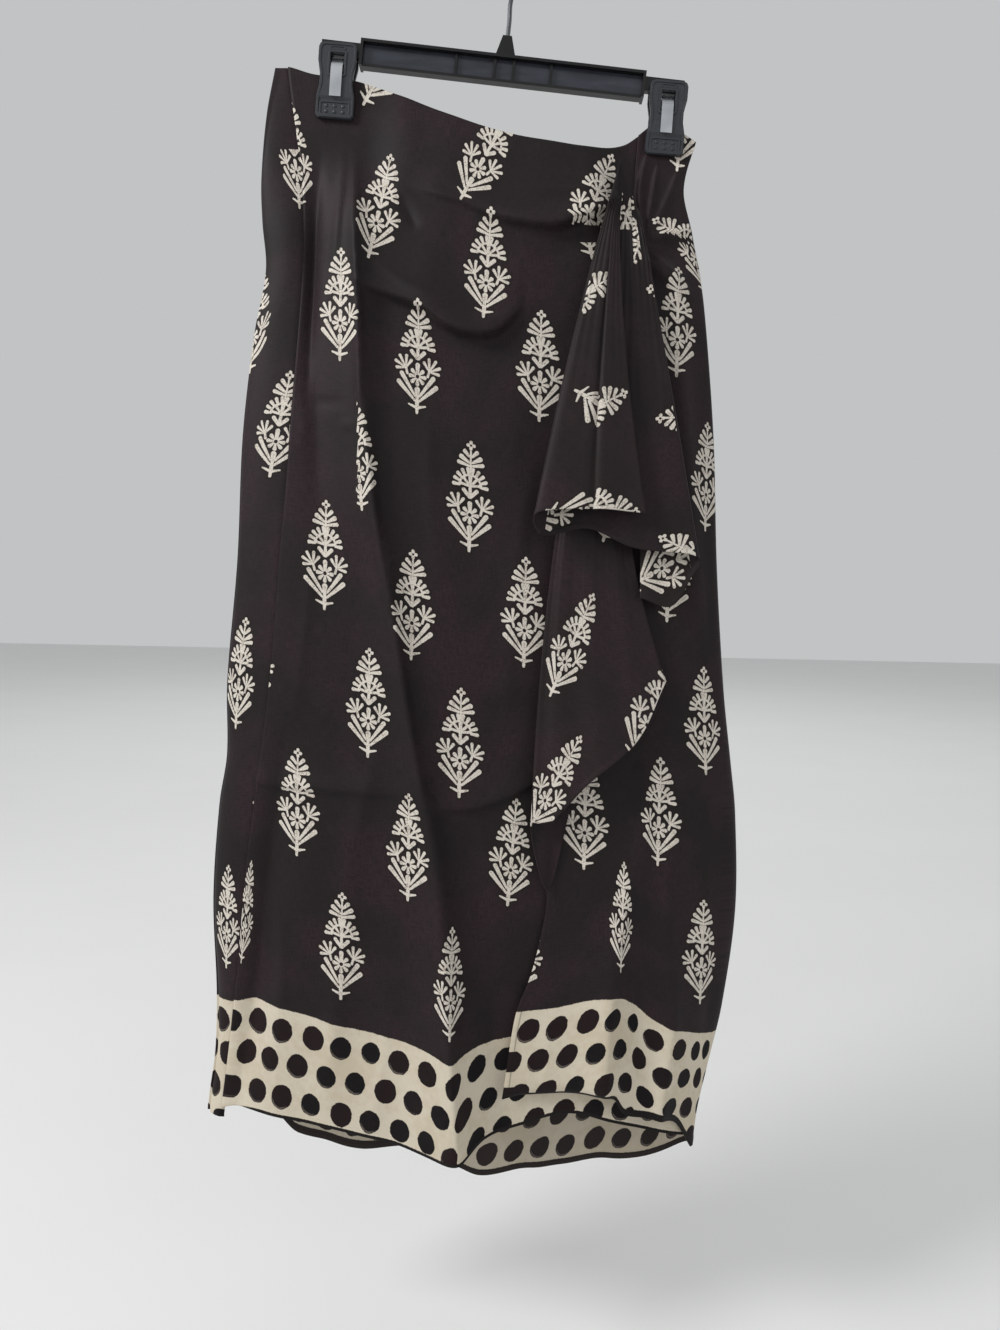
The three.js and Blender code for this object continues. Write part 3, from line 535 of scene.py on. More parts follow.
def makeOverlapPanel(facts):
    s = np.linspace(0, 1, facts["columns"])[None, :]
    points, rise = frontSheet(s, facts, overlapHemAt, 0, overlapY)
    x, roll = points[..., 0], facts["roll"]
    rolled = np.clip(1 - rise / roll["height"], 0, 1) ** 2 * plateau(x - roll["middle"], *roll["reach"])
    points[..., 1] += roll["inward"] * rolled
    points[..., 2] += roll["upward"] * rolled
    arc = arcAlong(points)
    border = borderMeasures(points, overlapBorderAt(x), facts, facts["dotStretch"])
    border[..., 0] -= facts["dotShear"] * (border[..., 1] + borderDots["firstRow"])
    edge = np.stack([arc, rise], 2)
    band = lerp(*facts["hemBands"], smoothStep(x, 96, 112))
    piece = makeCloth("overlap_cloth", points, hangPrint(points, arc, overlapMotifs), border, edge, band)
    return enlist(piece, facts)


overlapCloth = makeOverlapPanel(overlapFacts)

# back panel, which comes round the left side to the front seam
backFacts = dict(
    wrapColumns=19, columns=132, rows=200, length=880, waistDrop=4.0, waistEnds=(-190, 146), hemEnds=(-242, 168),
    lap=4.0, lapBehind=1.3, ringShare=0.7, wrapBorderTop=-863.0, borderHeight=92, borderRise=12, hemBands=(7.5, 5.2),
    pleatTop=-176, repeat=195.5, columnPitch=46.0, firstFoot=23.0, footRoom=35, dotStart=15.0,
    nodes=["back_panel", "back_wrap"], flat=(0.50, 0.93), area=0.386, held="hung",
    restsOn=["clip_left_back_jaw", "clip_right_back_jaw"],
)
wrapMotifAt = curve(
    (-145, -180.5), (-225, -169.5), (-300, -171), (-350, -174), (-394, -183), (-440, -191), (-591, -214),
    (-791, -223), (-1040, -226),
)
wrapLiftAt = curve((-240, 30), (-330, 12), (-440, 14), (-591, 9), (-700, 4))
wrapSqueezeAt = curve(  # where folds narrow the print
    (-240, 0.5), (-330, 0), (-530, 0), (-580, 0.3), (-650, 0.3), (-740, 0.55), (-860, 0.55), (-900, 0),
)


def makeBackPanel(facts):
    def backRow(share, v):
        top = waistAt(lerp(*facts["waistEnds"], share)) - facts["waistDrop"] * np.sin(np.pi * share)
        return lerp(top, backHemAt(lerp(*facts["hemEnds"], share)), v)

    wrapCount = facts["wrapColumns"] - 1
    v = rowsDown(facts["rows"], facts["length"])
    turn = np.linspace(1, 0, wrapCount)[None, :-1]  # from the seam to the left side
    z = backRow(np.zeros_like(turn), v)
    swing = np.sin(np.pi * turn / 2)
    x = lerp(leftAt(z), seamAt(z) - cloth["seamGap"], 1 - np.cos(np.pi * turn / 2))
    relief = (frontRelief(x, z) + ripple(x, z, 0.4)) * awayFromSides(x, z)
    free = halfDepth(x, z, cloth["sideStep"] * swing) + relief
    y = -np.maximum(lerp(free, cloth["clipHalfGap"] * swing, pressed(x, z)), cloth["sideHalfGap"])
    lapX, lapZ = x[:, :1] + facts["lap"], z[:, :1]  # the seam allowance lies behind the front panel
    lapped = np.stack([lapX, frontY(lapX, lapZ) + facts["lapBehind"], lapZ], 2)
    share = np.linspace(0, 1, facts["columns"])[None, :]
    part = lerp(share, (1 - np.cos(np.pi * share)) / 2, facts["ringShare"])
    wrap = np.stack([x, y, z], 2)
    z = backRow(part, v)
    x = lerp(leftAt(z), rightAt(z) + 0.2, part)
    behind = np.stack([x, np.maximum(backY(x, z), cloth["sideHalfGap"]), z], 2)
    points = np.concatenate([lapped, wrap, behind], 1)
    x, z = points[..., 0], points[..., 2]
    arc = arcAlong(points)
    lastColumn = points.shape[1] - 1
    onWrap = np.arange(lastColumn + 1)[None, :] < wrapCount
    high = facts["borderHeight"] + facts["borderRise"] * (1 - smoothStep(x, -240, -180))
    topAt = np.where(onWrap, facts["wrapBorderTop"], backHemAt(x) + high)
    border = np.stack([arc - facts["dotStart"], z - topAt], 2)
    rise = (1 - v) * (z[0] - z[-1])
    edge = np.stack([np.full(x.shape, noEdge), rise], 2)
    band = np.where(onWrap, 0.0, lerp(*facts["hemBands"], smoothStep(x, -120, -60)) * smoothStep(x, -226, -190))
    firstAt = wrapMotifAt(z[:, 0])
    wrapX, wrapArc = x[:, :wrapCount][:, ::-1], arc[:, :wrapCount][:, ::-1]
    firstArc = [np.interp(xa, wrapX[j], wrapArc[j]) - max(xa - x[j, 0], 0) for j, xa in enumerate(firstAt)]
    beyond = arc - np.array(firstArc)[:, None]
    beyond = beyond * (1 + wrapSqueezeAt(z) * plateau(beyond, 12, 26))
    beyond = beyond + 8 * smoothStep(beyond, 10, 30) * plateau(z + 300, 60, 120)
    height = z - topAt - wrapLiftAt(z) * (1 - smoothStep(beyond, 18, 40))

    def printAt(places, cells):  # the columns are laid the other way, so that the printed face is outside
        j, i = places[..., 0], lastColumn - places[..., 1]
        cj, ci = cells[:, 0], lastColumn - 1 - cells[:, 1]
        order = np.round(beyond[cj, ci] / facts["columnPitch"])
        foot = facts["firstFoot"] + facts["repeat"] / 2 * np.mod(order, 2)
        level = np.floor((height[cj, ci] - foot + facts["footRoom"]) / facts["repeat"])
        a = -(beyond[j, i] - order[:, None] * facts["columnPitch"])
        b = height[j, i] - (foot + level * facts["repeat"])[:, None]
        hidden = (level < 0) | ((z[cj, ci] > facts["pleatTop"]) & (np.abs(beyond[cj, ci]) < 20))
        return np.stack([a, np.where(hidden[:, None], noMotif, b)], 2)

    laid = [values[:, ::-1] for values in (border, edge, band)]
    return enlist(makeCloth("back_cloth", points[:, ::-1], printAt, *laid), facts)


backCloth = makeBackPanel(backFacts)
print("panels made")

# the cascade, in two tiers
upperCascade = table(
    "topX topZ topLift midX midZ midLift hemX hemZ hemLift",
    (80, -196, 9.4, 86, -325, 20, 105, -461, 30), (81, -190, 10, 69, -325, 23, 64, -459, 33),
    (82, -186, 9.6, 50, -322, 21, 22, -463, 31), (83, -186, 7.6, 51, -326, 15, 28, -479, 21),
    (85, -193, 6.6, 74, -336, 14, 62, -473, 19), (90, -206, 6.6, 97, -338, 15, 97, -487, 22),
    (97, -222, 6.4, 118, -340, 15, 145, -492, 23), (98, -224, 4.6, 118, -346, 10, 144, -507, 16),
    (98, -226, 4.2, 112, -352, 8.5, 129, -531, 14), (97, -226, 4, 101, -350, 8, 104, -525, 13),
)
lowerCascade = table(
    "topX topZ topLift midX midZ midLift hemX hemZ hemLift",
    (99, -232, 2.4, 88, -415, 4, 127, -590, 10), (98, -230, 2.6, 79, -420, 6, 104, -636, 17),
    (97, -228, 2.6, 66, -428, 7, 70, -666, 20), (96, -227, 2.6, 50, -432, 7, 38, -700, 17),
    (95, -227, 2.4, 44, -432, 5, 23, -705, 11), (96, -228, 2.2, 47, -432, 2.6, 38, -757, 4),
    (97, -229, 1.8, 52, -432, 1.8, 54, -692, 2),
)
upperFacts = dict(
    name="upper_flounce", columns=163, rows=92, length=290, wave=0.5, pressedLine=3.4,
    nodes=["cascade_upper"], flat=(0.36, 0.30), area=0.046, held="gathered", restsOn=["overlap_cloth"],
)
lowerFacts = dict(
    name="lower_flounce", columns=96, rows=110, length=460, wave=0.8, pressedLine=0.0,
    nodes=["cascade_lower"], flat=(0.22, 0.54), area=0.037, held="gathered", restsOn=["overlap_cloth"],
)
upperMotifs = table(  # the folds that a sprig lies between, its place, its lean and the height in it that is there
    "low high x z tilt at narrow",
    (1, 2, 68, -286, 58, 72, 1.1), (1, 2, 48, -371, 118, 0, 1), (1, 2, 29, -461, 95, 0, 1),
    (0, 1, 86, -372, 62, 83, 1), (0, 1, 96, -466, 95, 83, 1), (3, 4, 45, -450, 60, 43.5, 1),
    (4, 5, 86, -226, 100, 50, 1), (4.9, 6, 115, -388, -95, 83, 1), (4.9, 6, 120, -479, -65, 83, 1),
    (4.9, 6, 107, -287, -90, 83, 1), (4.9, 5.4, 93, -262, 200, 80, 1), (7, 9, 120, -503, 60, 29, 1),
)
lowerMotifs = table(
    "low high x z tilt at narrow",
    (1, 4, 53, -563, 22, 43.5, 1.25), (1, 4, 41, -671, 27, 43.5, 1.3), (0, 1.6, 125, -613, 30, 43.5, 1),
    (0, 2, 84, -440, 15, 43.5, 1),
)


def makeFlounce(folds, facts, motifs):
    last = len(folds["topX"]) - 1
    folds = dict(folds, order=np.arange(last + 1, dtype=float))
    order = np.linspace(0, last, facts["columns"])[None, :]
    v = rowsDown(facts["rows"], facts["length"], ease=0)
    weights = [(2 * v - 1) * (v - 1), 4 * v * (1 - v), v * (2 * v - 1)]

    def along(name):
        at = (column(folds, "order", place + name)(order) for place in ("top", "mid", "hem"))
        return sum(weight * value for weight, value in zip(weights, at))

    x, z = along("X"), along("Z")
    gathers = 0.5 * np.sin(order * 21 + v * 2) * (1 - v) ** 1.5 * smoothStep(v, 0, 0.1)
    lift = along("Lift") + facts["wave"] * np.sin(order * 6.3 + v * 3.1) * v + gathers
    points = np.stack([x, overlapY(x, z) - lift, z], 2)
    points[..., 1] += facts["pressedLine"] * crease((order - 1) / 0.10) * smoothStep(v, 0.15, 0.5)
    down = np.concatenate([np.zeros((1, x.shape[1])), np.cumsum(stepsAlong(points, 0), 0)], 0)
    arc = arcAlong(points)
    edge = np.stack([np.maximum(np.minimum(arc, arc[:, -1:] - arc), 8.0), down[-1] - down], 2)
    border = np.stack([arc, down + 100], 2)  # the flounces have no border: the cloth lies above its top edge
    normals = gridNormals(points)

    def printAt(places, cells):
        at, here = points[places[..., 0], places[..., 1]], points[cells[:, 0], cells[:, 1]]
        cellOrder = order[0, cells[:, 1]] + 0.5 * (order[0, 1] - order[0, 0])
        corner = np.full(at.shape[:2] + (2,), noMotif)
        best = np.full(len(cells), 1e9)
        for own in motifRows(motifs):
            inside = (order[0] >= own["low"]) & (order[0] <= own["high"])
            away = np.hypot(x - own["x"], z - own["z"]) + np.where(inside[None, :], 0, 1e6)
            mj, mi = np.unravel_index(np.argmin(away), away.shape)
            middle = points[mj, mi]
            normal = normals[max(mj - 6, 0):mj + 7, max(mi - 5, 0):mi + 6].reshape(-1, 3).mean(0)
            normal /= -math.copysign(np.linalg.norm(normal), normal[1])  # towards the front
            up = np.array([0.0, 0.0, 1.0]) - normal * normal[2]
            up /= np.linalg.norm(up)
            right = np.cross(up, normal)
            tilt = math.radians(own["tilt"])
            axisB = right * math.sin(tilt) + up * math.cos(tilt)
            axisA = (right * math.cos(tilt) - up * math.sin(tilt)) * own["narrow"]
            a, b = (here - middle) @ axisA, (here - middle) @ axisB + own["at"] - motifMiddle
            outside = (cellOrder < own["low"]) | (cellOrder > own["high"])
            distance = np.where(outside, 1e8, np.hypot(a / motifReach[0], b / motifReach[1]))
            closer = (distance < best) & (distance < 1e7)
            best = np.where(closer, distance, best)
            own = np.stack([(at - middle) @ axisA, (at - middle) @ axisB + own["at"]], 2)
            corner = np.where(closer[:, None, None], own, corner)
        return corner

    return enlist(makeCloth(facts["name"], points, printAt, border, edge, np.zeros(x.shape), 0.15), facts)


upperFlounce = makeFlounce(upperCascade, upperFacts, upperMotifs)
lowerFlounce = makeFlounce(lowerCascade, lowerFacts, lowerMotifs)
print("cascade made")


# materials
def paint(red, green, blue):  # a colour as the eye reads it, in the renderer's own scale
    linear = [c / 255 / 12.92 if c <= 10 else ((c / 255 + 0.055) / 1.055) ** 2.4 for c in (red, green, blue)]
    return (*linear, 1.0)


def operator(operation, swapped=False):
    def apply(self, other):
        return self.shader.maths(operation, *((other, self) if swapped else (self, other)))

    return apply


class Wire:  # a socket of a material, so that its maths reads as Python
    def __init__(self, shader, socket):
        self.shader, self.socket = shader, socket

    def __neg__(self):
        return self * -1.0

    __add__ = __radd__ = operator("ADD")
    __mul__ = __rmul__ = operator("MULTIPLY")
    __sub__, __rsub__ = operator("SUBTRACT"), operator("SUBTRACT", True)
    __truediv__ = operator("DIVIDE")


outputs = dict(normal=1, object=3, length=1, dot=1, factor=2, chance=1, colour=2)  # sockets, by their place on a node


class Shader:
    def __init__(self, name, **constants):
        self.material = bpy.data.materials.new(name)
        self.material.use_nodes = True
        self.tree = self.material.node_tree
        self.surface = self.tree.nodes["Principled BSDF"]
        for socket, value in constants.items():
            self.surface.inputs[socket.replace("_", " ")].default_value = value

    def add(self, kind, settings=None, inputs=(), output=0):
        node = self.tree.nodes.new("ShaderNode" + kind)
        for name, value in (settings or {}).items():
            setattr(node, name, value)
        for key, value in inputs.items() if isinstance(inputs, dict) else enumerate(inputs):
            if isinstance(value, Wire):
                self.tree.links.new(value.socket, node.inputs[key])
            else:
                node.inputs[key].default_value = value
        return Wire(self, node.outputs[output])

    def feed(self, socket, wire):
        self.tree.links.new(wire.socket, self.surface.inputs[socket])

    def maths(self, operation, *values):
        return self.add("Math", {"operation": operation}, values)

    def vector(self, operation, *inputs, output=0):
        return self.add("VectorMath", {"operation": operation}, inputs, output)

    def length(self, vector):
        return self.vector("LENGTH", vector, output=outputs["length"])

    def clamp(self, value, low=0, high=1):
        return self.add("Clamp", {}, [value, low, high])

    def split(self, vector, count=2):
        return [self.add("SeparateXYZ", {}, [vector], k) for k in range(count)]

    def coordinate(self, name):
        return self.add("TexCoord", {}, (), outputs[name])

    def noise(self, place, scale, detail=2.0, rough=0.5, dimensions="3D"):
        inputs = {"Vector": place, "Scale": scale, "Detail": detail, "Roughness": rough}
        return self.add("TexNoise", {"noise_dimensions": dimensions}, inputs)

    def mix(self, share, first, second):
        return self.add("Mix", {"data_type": "RGBA"}, {0: share, 6: first, 7: second}, outputs["colour"])

    def ramp(self, value, low, high, start=0.0, end=1.0):
        return self.add("MapRange", {"interpolation_type": "SMOOTHSTEP"}, [value, low, high, start, end])

    def line(self, measure, at, near, far, strength=1.0):  # full strength on a line, nothing away from it
        return self.ramp(self.maths("ABSOLUTE", measure - at), near, far, strength, 0.0)

    def bump(self, strength, height):
        self.feed("Normal", self.add("Bump", {}, {"Strength": strength, "Distance": millimetre, "Height": height}))

    def least(self, *wires):
        result = wires[0]
        for wire in wires[1:]:
            result = self.maths("MINIMUM", result, wire)
        return result


def club(shader, q, start, end, baseHalf, tipHalf):  # distance to a leaf or stem that widens to its tip
    dx, dy = end[0] - start[0], end[1] - start[1]
    span = dx * dx + dy * dy
    out = shader.vector("SUBTRACT", q, (start[0], start[1], 0))
    along = shader.clamp(shader.vector("DOT_PRODUCT", out, (dx / span, dy / span, 0), output=outputs["dot"]))
    off = shader.vector("MULTIPLY_ADD", along, (-dx, -dy, 0), out)
    return shader.length(off) - (along * (tipHalf - baseHalf) + baseHalf)


def fan(shader, q, middle, first, step, count, near, far, bend, baseHalf, tipHalf):  # fingers round a point
    out = shader.vector("SUBTRACT", q, (middle[0], middle[1], 0))
    across, up = shader.split(out)
    angle = shader.maths("ARCTAN2", up, across) - math.radians(first)
    finger = shader.clamp(shader.maths("ROUND", angle / math.radians(step)), 0, count - 1)
    turn = angle - finger * math.radians(step)
    radius = shader.length(out)
    u, w = radius * shader.maths("COSINE", turn), radius * shader.maths("SINE", turn)
    reach = finger * bend[0] + finger * finger * bend[1] + (far - near) if bend else far - near
    along = shader.clamp((u - near) / reach)
    miss = u - near - along * reach
    return shader.maths("SQRT", miss * miss + w * w) - (along * (tipHalf - baseHalf) + baseHalf)


sprig = dict(  # a block-printed sprig, its right half from the foot up, in millimetres
    droop=0.17, swell=0.16, hub=2.5,
    clubs=[
        ((0, 0.9), (0, 10), 1.0, 1.5), ((1.0, 5.0), (6.9, 6.7), 1.1, 0.5), ((2.0, 10.2), (15.6, 22.9), 0.8, 1.75),
        ((2.0, 14.0), (13.2, 29.6), 0.8, 1.7), ((0, 10), (0, 18.8), 0.9, 2.1), ((0, 31.6), (0, 37.8), 1.2, 1.75),
        ((8.6, 30.4), (9.8, 34.6), 0.9, 0.8), ((0.5, 43.0), (5.2, 48.0), 1.2, 1.45), ((0, 43), (0, 63), 1.2, 0.8),
        ((1.2, 67.2), (9.6, 69.0), 0.8, 1.4), ((1.4, 69.8), (7.6, 73.6), 0.8, 1.75),
        ((1.4, 74.6), (4.9, 78.2), 0.9, 1.5), ((0, 62), (0, 81), 0.6, 0.6),
    ],
    fans=[
        ((0, 29.0), -90, 45, 4, 2.9, 6.0, None, 0.8, 1.45),  # the flower
        ((9.8, 34.4), -7, 33, 5, 0.8, 7.6, (2.4, -0.6), 0.45, 1.15),  # the spray at each side
        ((0, 51.4), 1, 20, 5, 8.6, 13.4, None, 0.8, 1.35),  # the crown
        ((0, 51.4), 10, 38, 3, 1.0, 8.6, None, 0.8, 1.0),
        ((0, 83.2), -90, 90, 3, 0.6, 2.4, None, 1.1, 1.2),  # the bud
    ],
    ring=((0, 51.4), 8.7, 0.85),
    holes=[((0, 29.0), 1.5), ((0, 83.2), 0.9)],
)


def sprigDistance(shader, place, facts):  # place is across and up from the foot, in millimetres
    across, up = shader.split(place)
    q = shader.add("CombineXYZ", {}, [shader.maths("ABSOLUTE", across), up + across * facts["droop"], 0.0])
    leaves = [club(shader, q, *row) for row in facts["clubs"]] + [fan(shader, q, *row) for row in facts["fans"]]
    hub = shader.length(shader.vector("SUBTRACT", q, (*facts["fans"][0][0], 0)))
    middle, size, width = facts["ring"]
    out = shader.vector("SUBTRACT", q, (*middle, 0))
    band = shader.maths("ABSOLUTE", shader.length(out) - size) - width
    ring = shader.maths("MAXIMUM", band, 0.0 - shader.split(out)[1])
    shape = shader.least(shader.least(*leaves) - facts["swell"], hub - facts["hub"], ring)
    for middle, size in facts["holes"]:
        hole = size - shader.length(shader.vector("SUBTRACT", q, (*middle, 0)))
        shape = shader.maths("MAXIMUM", shape, hole)
    return shape


# the dark brown bleed colour serves the dye bleed round the sprigs and also the painted shade in the stitched groove on
# the overlap's side edge
clothColours = dict(
    ground=paint(32, 25, 26), groundWarm=paint(44, 30, 34), groundDeep=paint(18, 13, 14), dyeBleedAndGrooveShade=paint(23, 17, 14),
    ivory=paint(213, 205, 194), ivoryWorn=paint(166, 156, 145), border=paint(207, 197, 179),
    borderWarm=paint(196, 184, 162), dot=paint(11, 7, 9), dotBrown=paint(28, 14, 16), hem=paint(22, 18, 17),
    wrongSide=paint(96, 84, 80),
)
stitching = dict(pitch=2.6, fromHem=4.6, fromEdge=4.2)


def clothMaterial(colours, dots):
    shader = Shader("printed_cloth", Specular_IOR_Level=0.2, Sheen_Weight=0.05, Sheen_Roughness=0.4)
    mix, ramp = shader.mix, shader.ramp
    maps = [shader.add("UVMap", {"uv_map": name}) for name in ("print", "border", "edge")]
    printed, measured, edges = (shader.vector("SCALE", place, (0, 0, 0), (0, 0, 0), 1000.0) for place in maps)
    wrongSide, hemBand = (
        shader.add("Attribute", {"attribute_name": name}, (), outputs["factor"]) for name in ("wrongSide", "hemBand")
    )
    hemBand = hemBand * 1000.0
    along, above = shader.split(measured)
    sideRise, hemRise = shader.split(edges)

    fine, mottle, broad = (
        shader.noise(measured, scale, detail, 0.5, "2D") for scale, detail in ((0.85, 1.0), (0.16, 2.0), (0.014, 2.0))
    )
    warp, weft = (
        shader.noise(shader.vector("MULTIPLY", measured, stretch), 1.0, 1.0, 0.5, "2D")
        for stretch in ((1.9, 0.11, 1), (0.13, 1.7, 1))
    )
    thread = warp * 0.5 + weft * 0.5

    shape = sprigDistance(shader, printed, sprig) + (fine - 0.5) * 0.75
    isSprig = ramp(shape, -0.25, 0.2, 1.0, 0.0)
    flecks = ramp(fine * 0.6 + mottle * 0.4, 0.38, 0.46)
    dyeBleedAndGrooveShade = ramp(shape, 0.1, 2.6, 0.75, 0.0)
    inner = ramp(shape, -2.0, -1.1, 0.55, 0.0)

    rowPlace = (-above - dots["firstRow"]) / dots["rowStep"]
    row = shader.clamp(shader.maths("ROUND", rowPlace), 0, dots["rows"] - 1)
    shifted = along / dots["pitch"] + row * 0.5
    cell = shader.maths("ROUND", shifted)
    seed = {"Vector": shader.add("CombineXYZ", {}, [cell, row, 0.0])}
    chances = shader.split(shader.add("TexWhiteNoise", {"noise_dimensions": "2D"}, seed, outputs["chance"]), 3)
    across = (shifted - cell) * dots["pitch"] + (chances[0] - 0.5) * dots["chance"]
    upward = above + dots["firstRow"] + row * dots["rowStep"] + (chances[1] - 0.5) * dots["chance"]
    leant = across - upward * 0.12
    size = leant * leant / dots["halfWidth"] ** 2 + upward * upward / dots["halfHeight"] ** 2
    unevenness = (fine - 0.5) * 0.10 + (mottle - 0.5) * 0.16 - (chances[2] - 0.5) * 0.16
    radius = shader.maths("SQRT", size) + unevenness
    isDot = ramp(radius, 0.97, 1.03, 1.0, 0.0)
    dotRim = ramp(radius, 0.80, 0.86) * ramp(radius, 0.90, 0.96, 1.0, 0.0)
    dotRim = dotRim * ramp(upward + across * 0.4, -9, -4, 1.0, 0.0)
    isBorder = ramp(above + (fine - 0.5) * 1.2 + (mottle - 0.5) * 1.0, -0.35, 0.35, 1.0, 0.0)
    isHem = ramp(hemRise + (fine - 0.5) * 0.8 - hemBand, -0.2, 0.3, 1.0, 0.0)
    isHem = isHem * ramp(hemBand, 0.3, 1.0)

    ground = mix(ramp(broad, 0.36, 0.64), colours["ground"], colours["groundWarm"])
    ground = mix(ramp(thread, 0.62, 0.34, 0.0, 0.7), ground, colours["groundDeep"])
    ground = mix(dyeBleedAndGrooveShade, ground, colours["dyeBleedAndGrooveShade"])
    ivory = mix(flecks, colours["ivoryWorn"], colours["ivory"])
    ivory = mix(inner, ivory, colours["ivoryWorn"])
    body = mix(isSprig, ground, ivory)
    pale = mix(ramp(broad * 0.7 + mottle * 0.3, 0.4, 0.65), colours["border"], colours["borderWarm"])
    pale = mix(ramp(thread, 0.6, 0.36, 0.0, 0.35), pale, colours["borderWarm"])
    ink = mix(ramp(chances[2] * 0.6 + mottle * 0.4, 0.35, 0.75), colours["dot"], colours["dotBrown"])
    ink = mix(dotRim * ramp(chances[0], 0.45, 0.6, 0.0, 0.3), ink, colours["ivoryWorn"])
    # painted shade: a thin dark line in the stitched groove along the overlap's side edge, in the dye bleed's brown
    pale = mix(shader.line(sideRise, stitching["fromEdge"], 0.2, 0.75, 0.45), pale, colours["dyeBleedAndGrooveShade"])
    colour = mix(isBorder, body, mix(isDot, pale, ink))
    colour = mix(isHem, colour, colours["hem"])
    faded = mix(0.16, colour, colours["wrongSide"])
    shader.feed("Base Color", mix(wrongSide, colour, faded))

    stitchPlace = along / stitching["pitch"]
    stitch = shader.line(stitchPlace - shader.maths("FLOOR", stitchPlace), 0.5, 0.3, 0.42)
    nearLine = shader.line(hemRise, stitching["fromHem"], 0.25, 0.7)
    nearSide = shader.line(sideRise, stitching["fromEdge"], 0.25, 0.7)
    seam = shader.maths("MAXIMUM", nearLine, nearSide)
    shader.feed("Roughness", 0.62 + (thread - 0.5) * 0.16 + isSprig * 0.1 + isBorder * 0.12)
    shader.bump(0.75, thread * 0.10 + mottle * 0.12 + seam * (stitch * 0.10 - 0.22))
    return shader.material


printedCloth = clothMaterial(clothColours, borderDots)
for piece in (frontCloth, overlapCloth, backCloth, upperFlounce, lowerFlounce):
    piece.data.materials.append(printedCloth)
print("cloth material made")

# the hanger keeps its solids, with softened edges and its own finishes
bevels = dict(plastic=0.45, spring=0.2, relief=0.2, wire=0)
plasticLooks = dict(
    hanger_plastic=dict(dark=paint(5, 5, 6), worn=paint(19, 20, 22), roughness=0.34, grain=0.02, web=paint(52, 55, 64)),
    clip_plastic=dict(dark=paint(42, 44, 49), worn=paint(72, 75, 81), roughness=0.46, grain=0.10, web=None),
)



def plasticMaterial(name, look):
    shader = Shader(name, Specular_IOR_Level=0.5)
    place = shader.coordinate("object")
    cloudy, specks = shader.noise(place, 60.0, 3.0, 0.55), shader.noise(place, 1500.0, 1.0, 0.5)
    scratches = shader.noise(shader.vector("MULTIPLY", place, (90.0, 500.0, 900.0)), 1.0, 2.0, 0.6)
    worn = shader.ramp(cloudy * 0.6 + scratches * 0.4, 0.52, 0.72, 0.0, 0.45)
    colour = shader.mix(worn, look["dark"], look["worn"])
    roughness = look["roughness"] + (cloudy - 0.5) * 0.25 + (scratches - 0.5) * 0.12
    if look["web"]:  # the bar's web is smoother and paler than its rims
        facing, depth = shader.split(shader.coordinate("normal"))[1], shader.split(place)[1] * 1000.0
        inside = shader.ramp(depth, -1.6, -1.3) * shader.ramp(-facing, 0.8, 0.95)
        inside = inside * shader.ramp(depth, 0.0, 0.4, 1.0, 0.0)
        streaks = shader.noise(shader.vector("MULTIPLY", place, (30.0, 10.0, 160.0)), 1.0, 3.0, 0.6)
        colour = shader.mix(inside * shader.ramp(streaks, 0.3, 0.7, 0.6, 1.0), colour, look["web"])
        roughness = roughness - inside * 0.1
    shader.feed("Base Color", colour)
    shader.feed("Roughness", roughness)
    shader.bump(0.5, specks * look["grain"] + scratches * 0.03)
    return shader.material


def steelMaterial(name, steel, dull):
    shader = Shader(name, Metallic=1.0)
    cloudy = shader.noise(shader.coordinate("object"), 30.0)
    shader.feed("Base Color", shader.mix(shader.ramp(cloudy, 0.4, 0.7, 0.0, 0.5), steel, dull))
    shader.feed("Roughness", 0.16 + cloudy * 0.16)
    return shader.material


plastics = {name: plasticMaterial(name, look) for name, look in plasticLooks.items()}
brightSteel = steelMaterial("bright_steel", paint(222, 224, 228), paint(150, 153, 160))
darkSteel = steelMaterial("dark_steel", paint(92, 94, 98), paint(58, 59, 62))


def soften(piece, width):
    edge = piece.modifiers.new("softened_edges", "BEVEL")
    edge.width, edge.segments = width * millimetre, 2
    edge.limit_method, edge.angle_limit = "ANGLE", math.radians(40)


def dressNode(name, material, bevel):
    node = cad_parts[name]
    node.data.materials.clear()
    node.data.materials.append(material)
    if bevel:
        soften(node, bevel)


dressNode("hanger_bar", plastics["hanger_plastic"], bevels["plastic"])
dressNode("hanger_hook", darkSteel, bevels["wire"])
for side in ("left", "right"):
    for jaw in ("front", "back"):
        dressNode(f"clip_{side}_{jaw}_jaw", plastics["clip_plastic"], bevels["plastic"])
    dressNode(f"clip_{side}_spring", brightSteel, bevels["spring"])

jawFacts = dict(halfWidth=15.0, waist=13.0, height=57.0, plate=2.6, topGap=3.1, pads=(2.0, 3.8), backPad=2.0)


def jawFaceAt(z, pad):  # how far the jaw's outer face stands from the middle plane
    gap = jawFacts["topGap"]
    return np.interp(-z, (0, 22, 41, 43), (gap, gap, pad + 1, pad)) + jawFacts["plate"]


def roundedLoop(middle, width, height, corner, steps=5):  # points round a soft-cornered rectangle, at a height
    loop = []
    for sx, sz, start in ((1, 1, 0), (-1, 1, 90), (-1, -1, 180), (1, -1, 270)):
        x, z = sx * (width / 2 - corner), middle + sz * (height / 2 - corner)
        for turn in np.radians(start + 90 * np.arange(steps) / (steps - 1)):
            loop.append((x + corner * math.cos(turn), z + corner * math.sin(turn)))
    return loop


def jawLoop(inset):  # the jaw's own outline, set in from its edge
    half, waist, height = (jawFacts[name] - inset for name in ("halfWidth", "waist", "height"))
    side = [
        (half - 3, -inset), (half - 0.8, -inset - 1), (half, -inset - 4), (half, -14), (waist, -24),
        (waist, -32), (half, -42), (half, 2 - height), (half - 2, -height),
    ]
    return [(-x, z) for x, z in side] + side[::-1]


sunk = -0.3  # how deep the relief's feet stand in the jaw


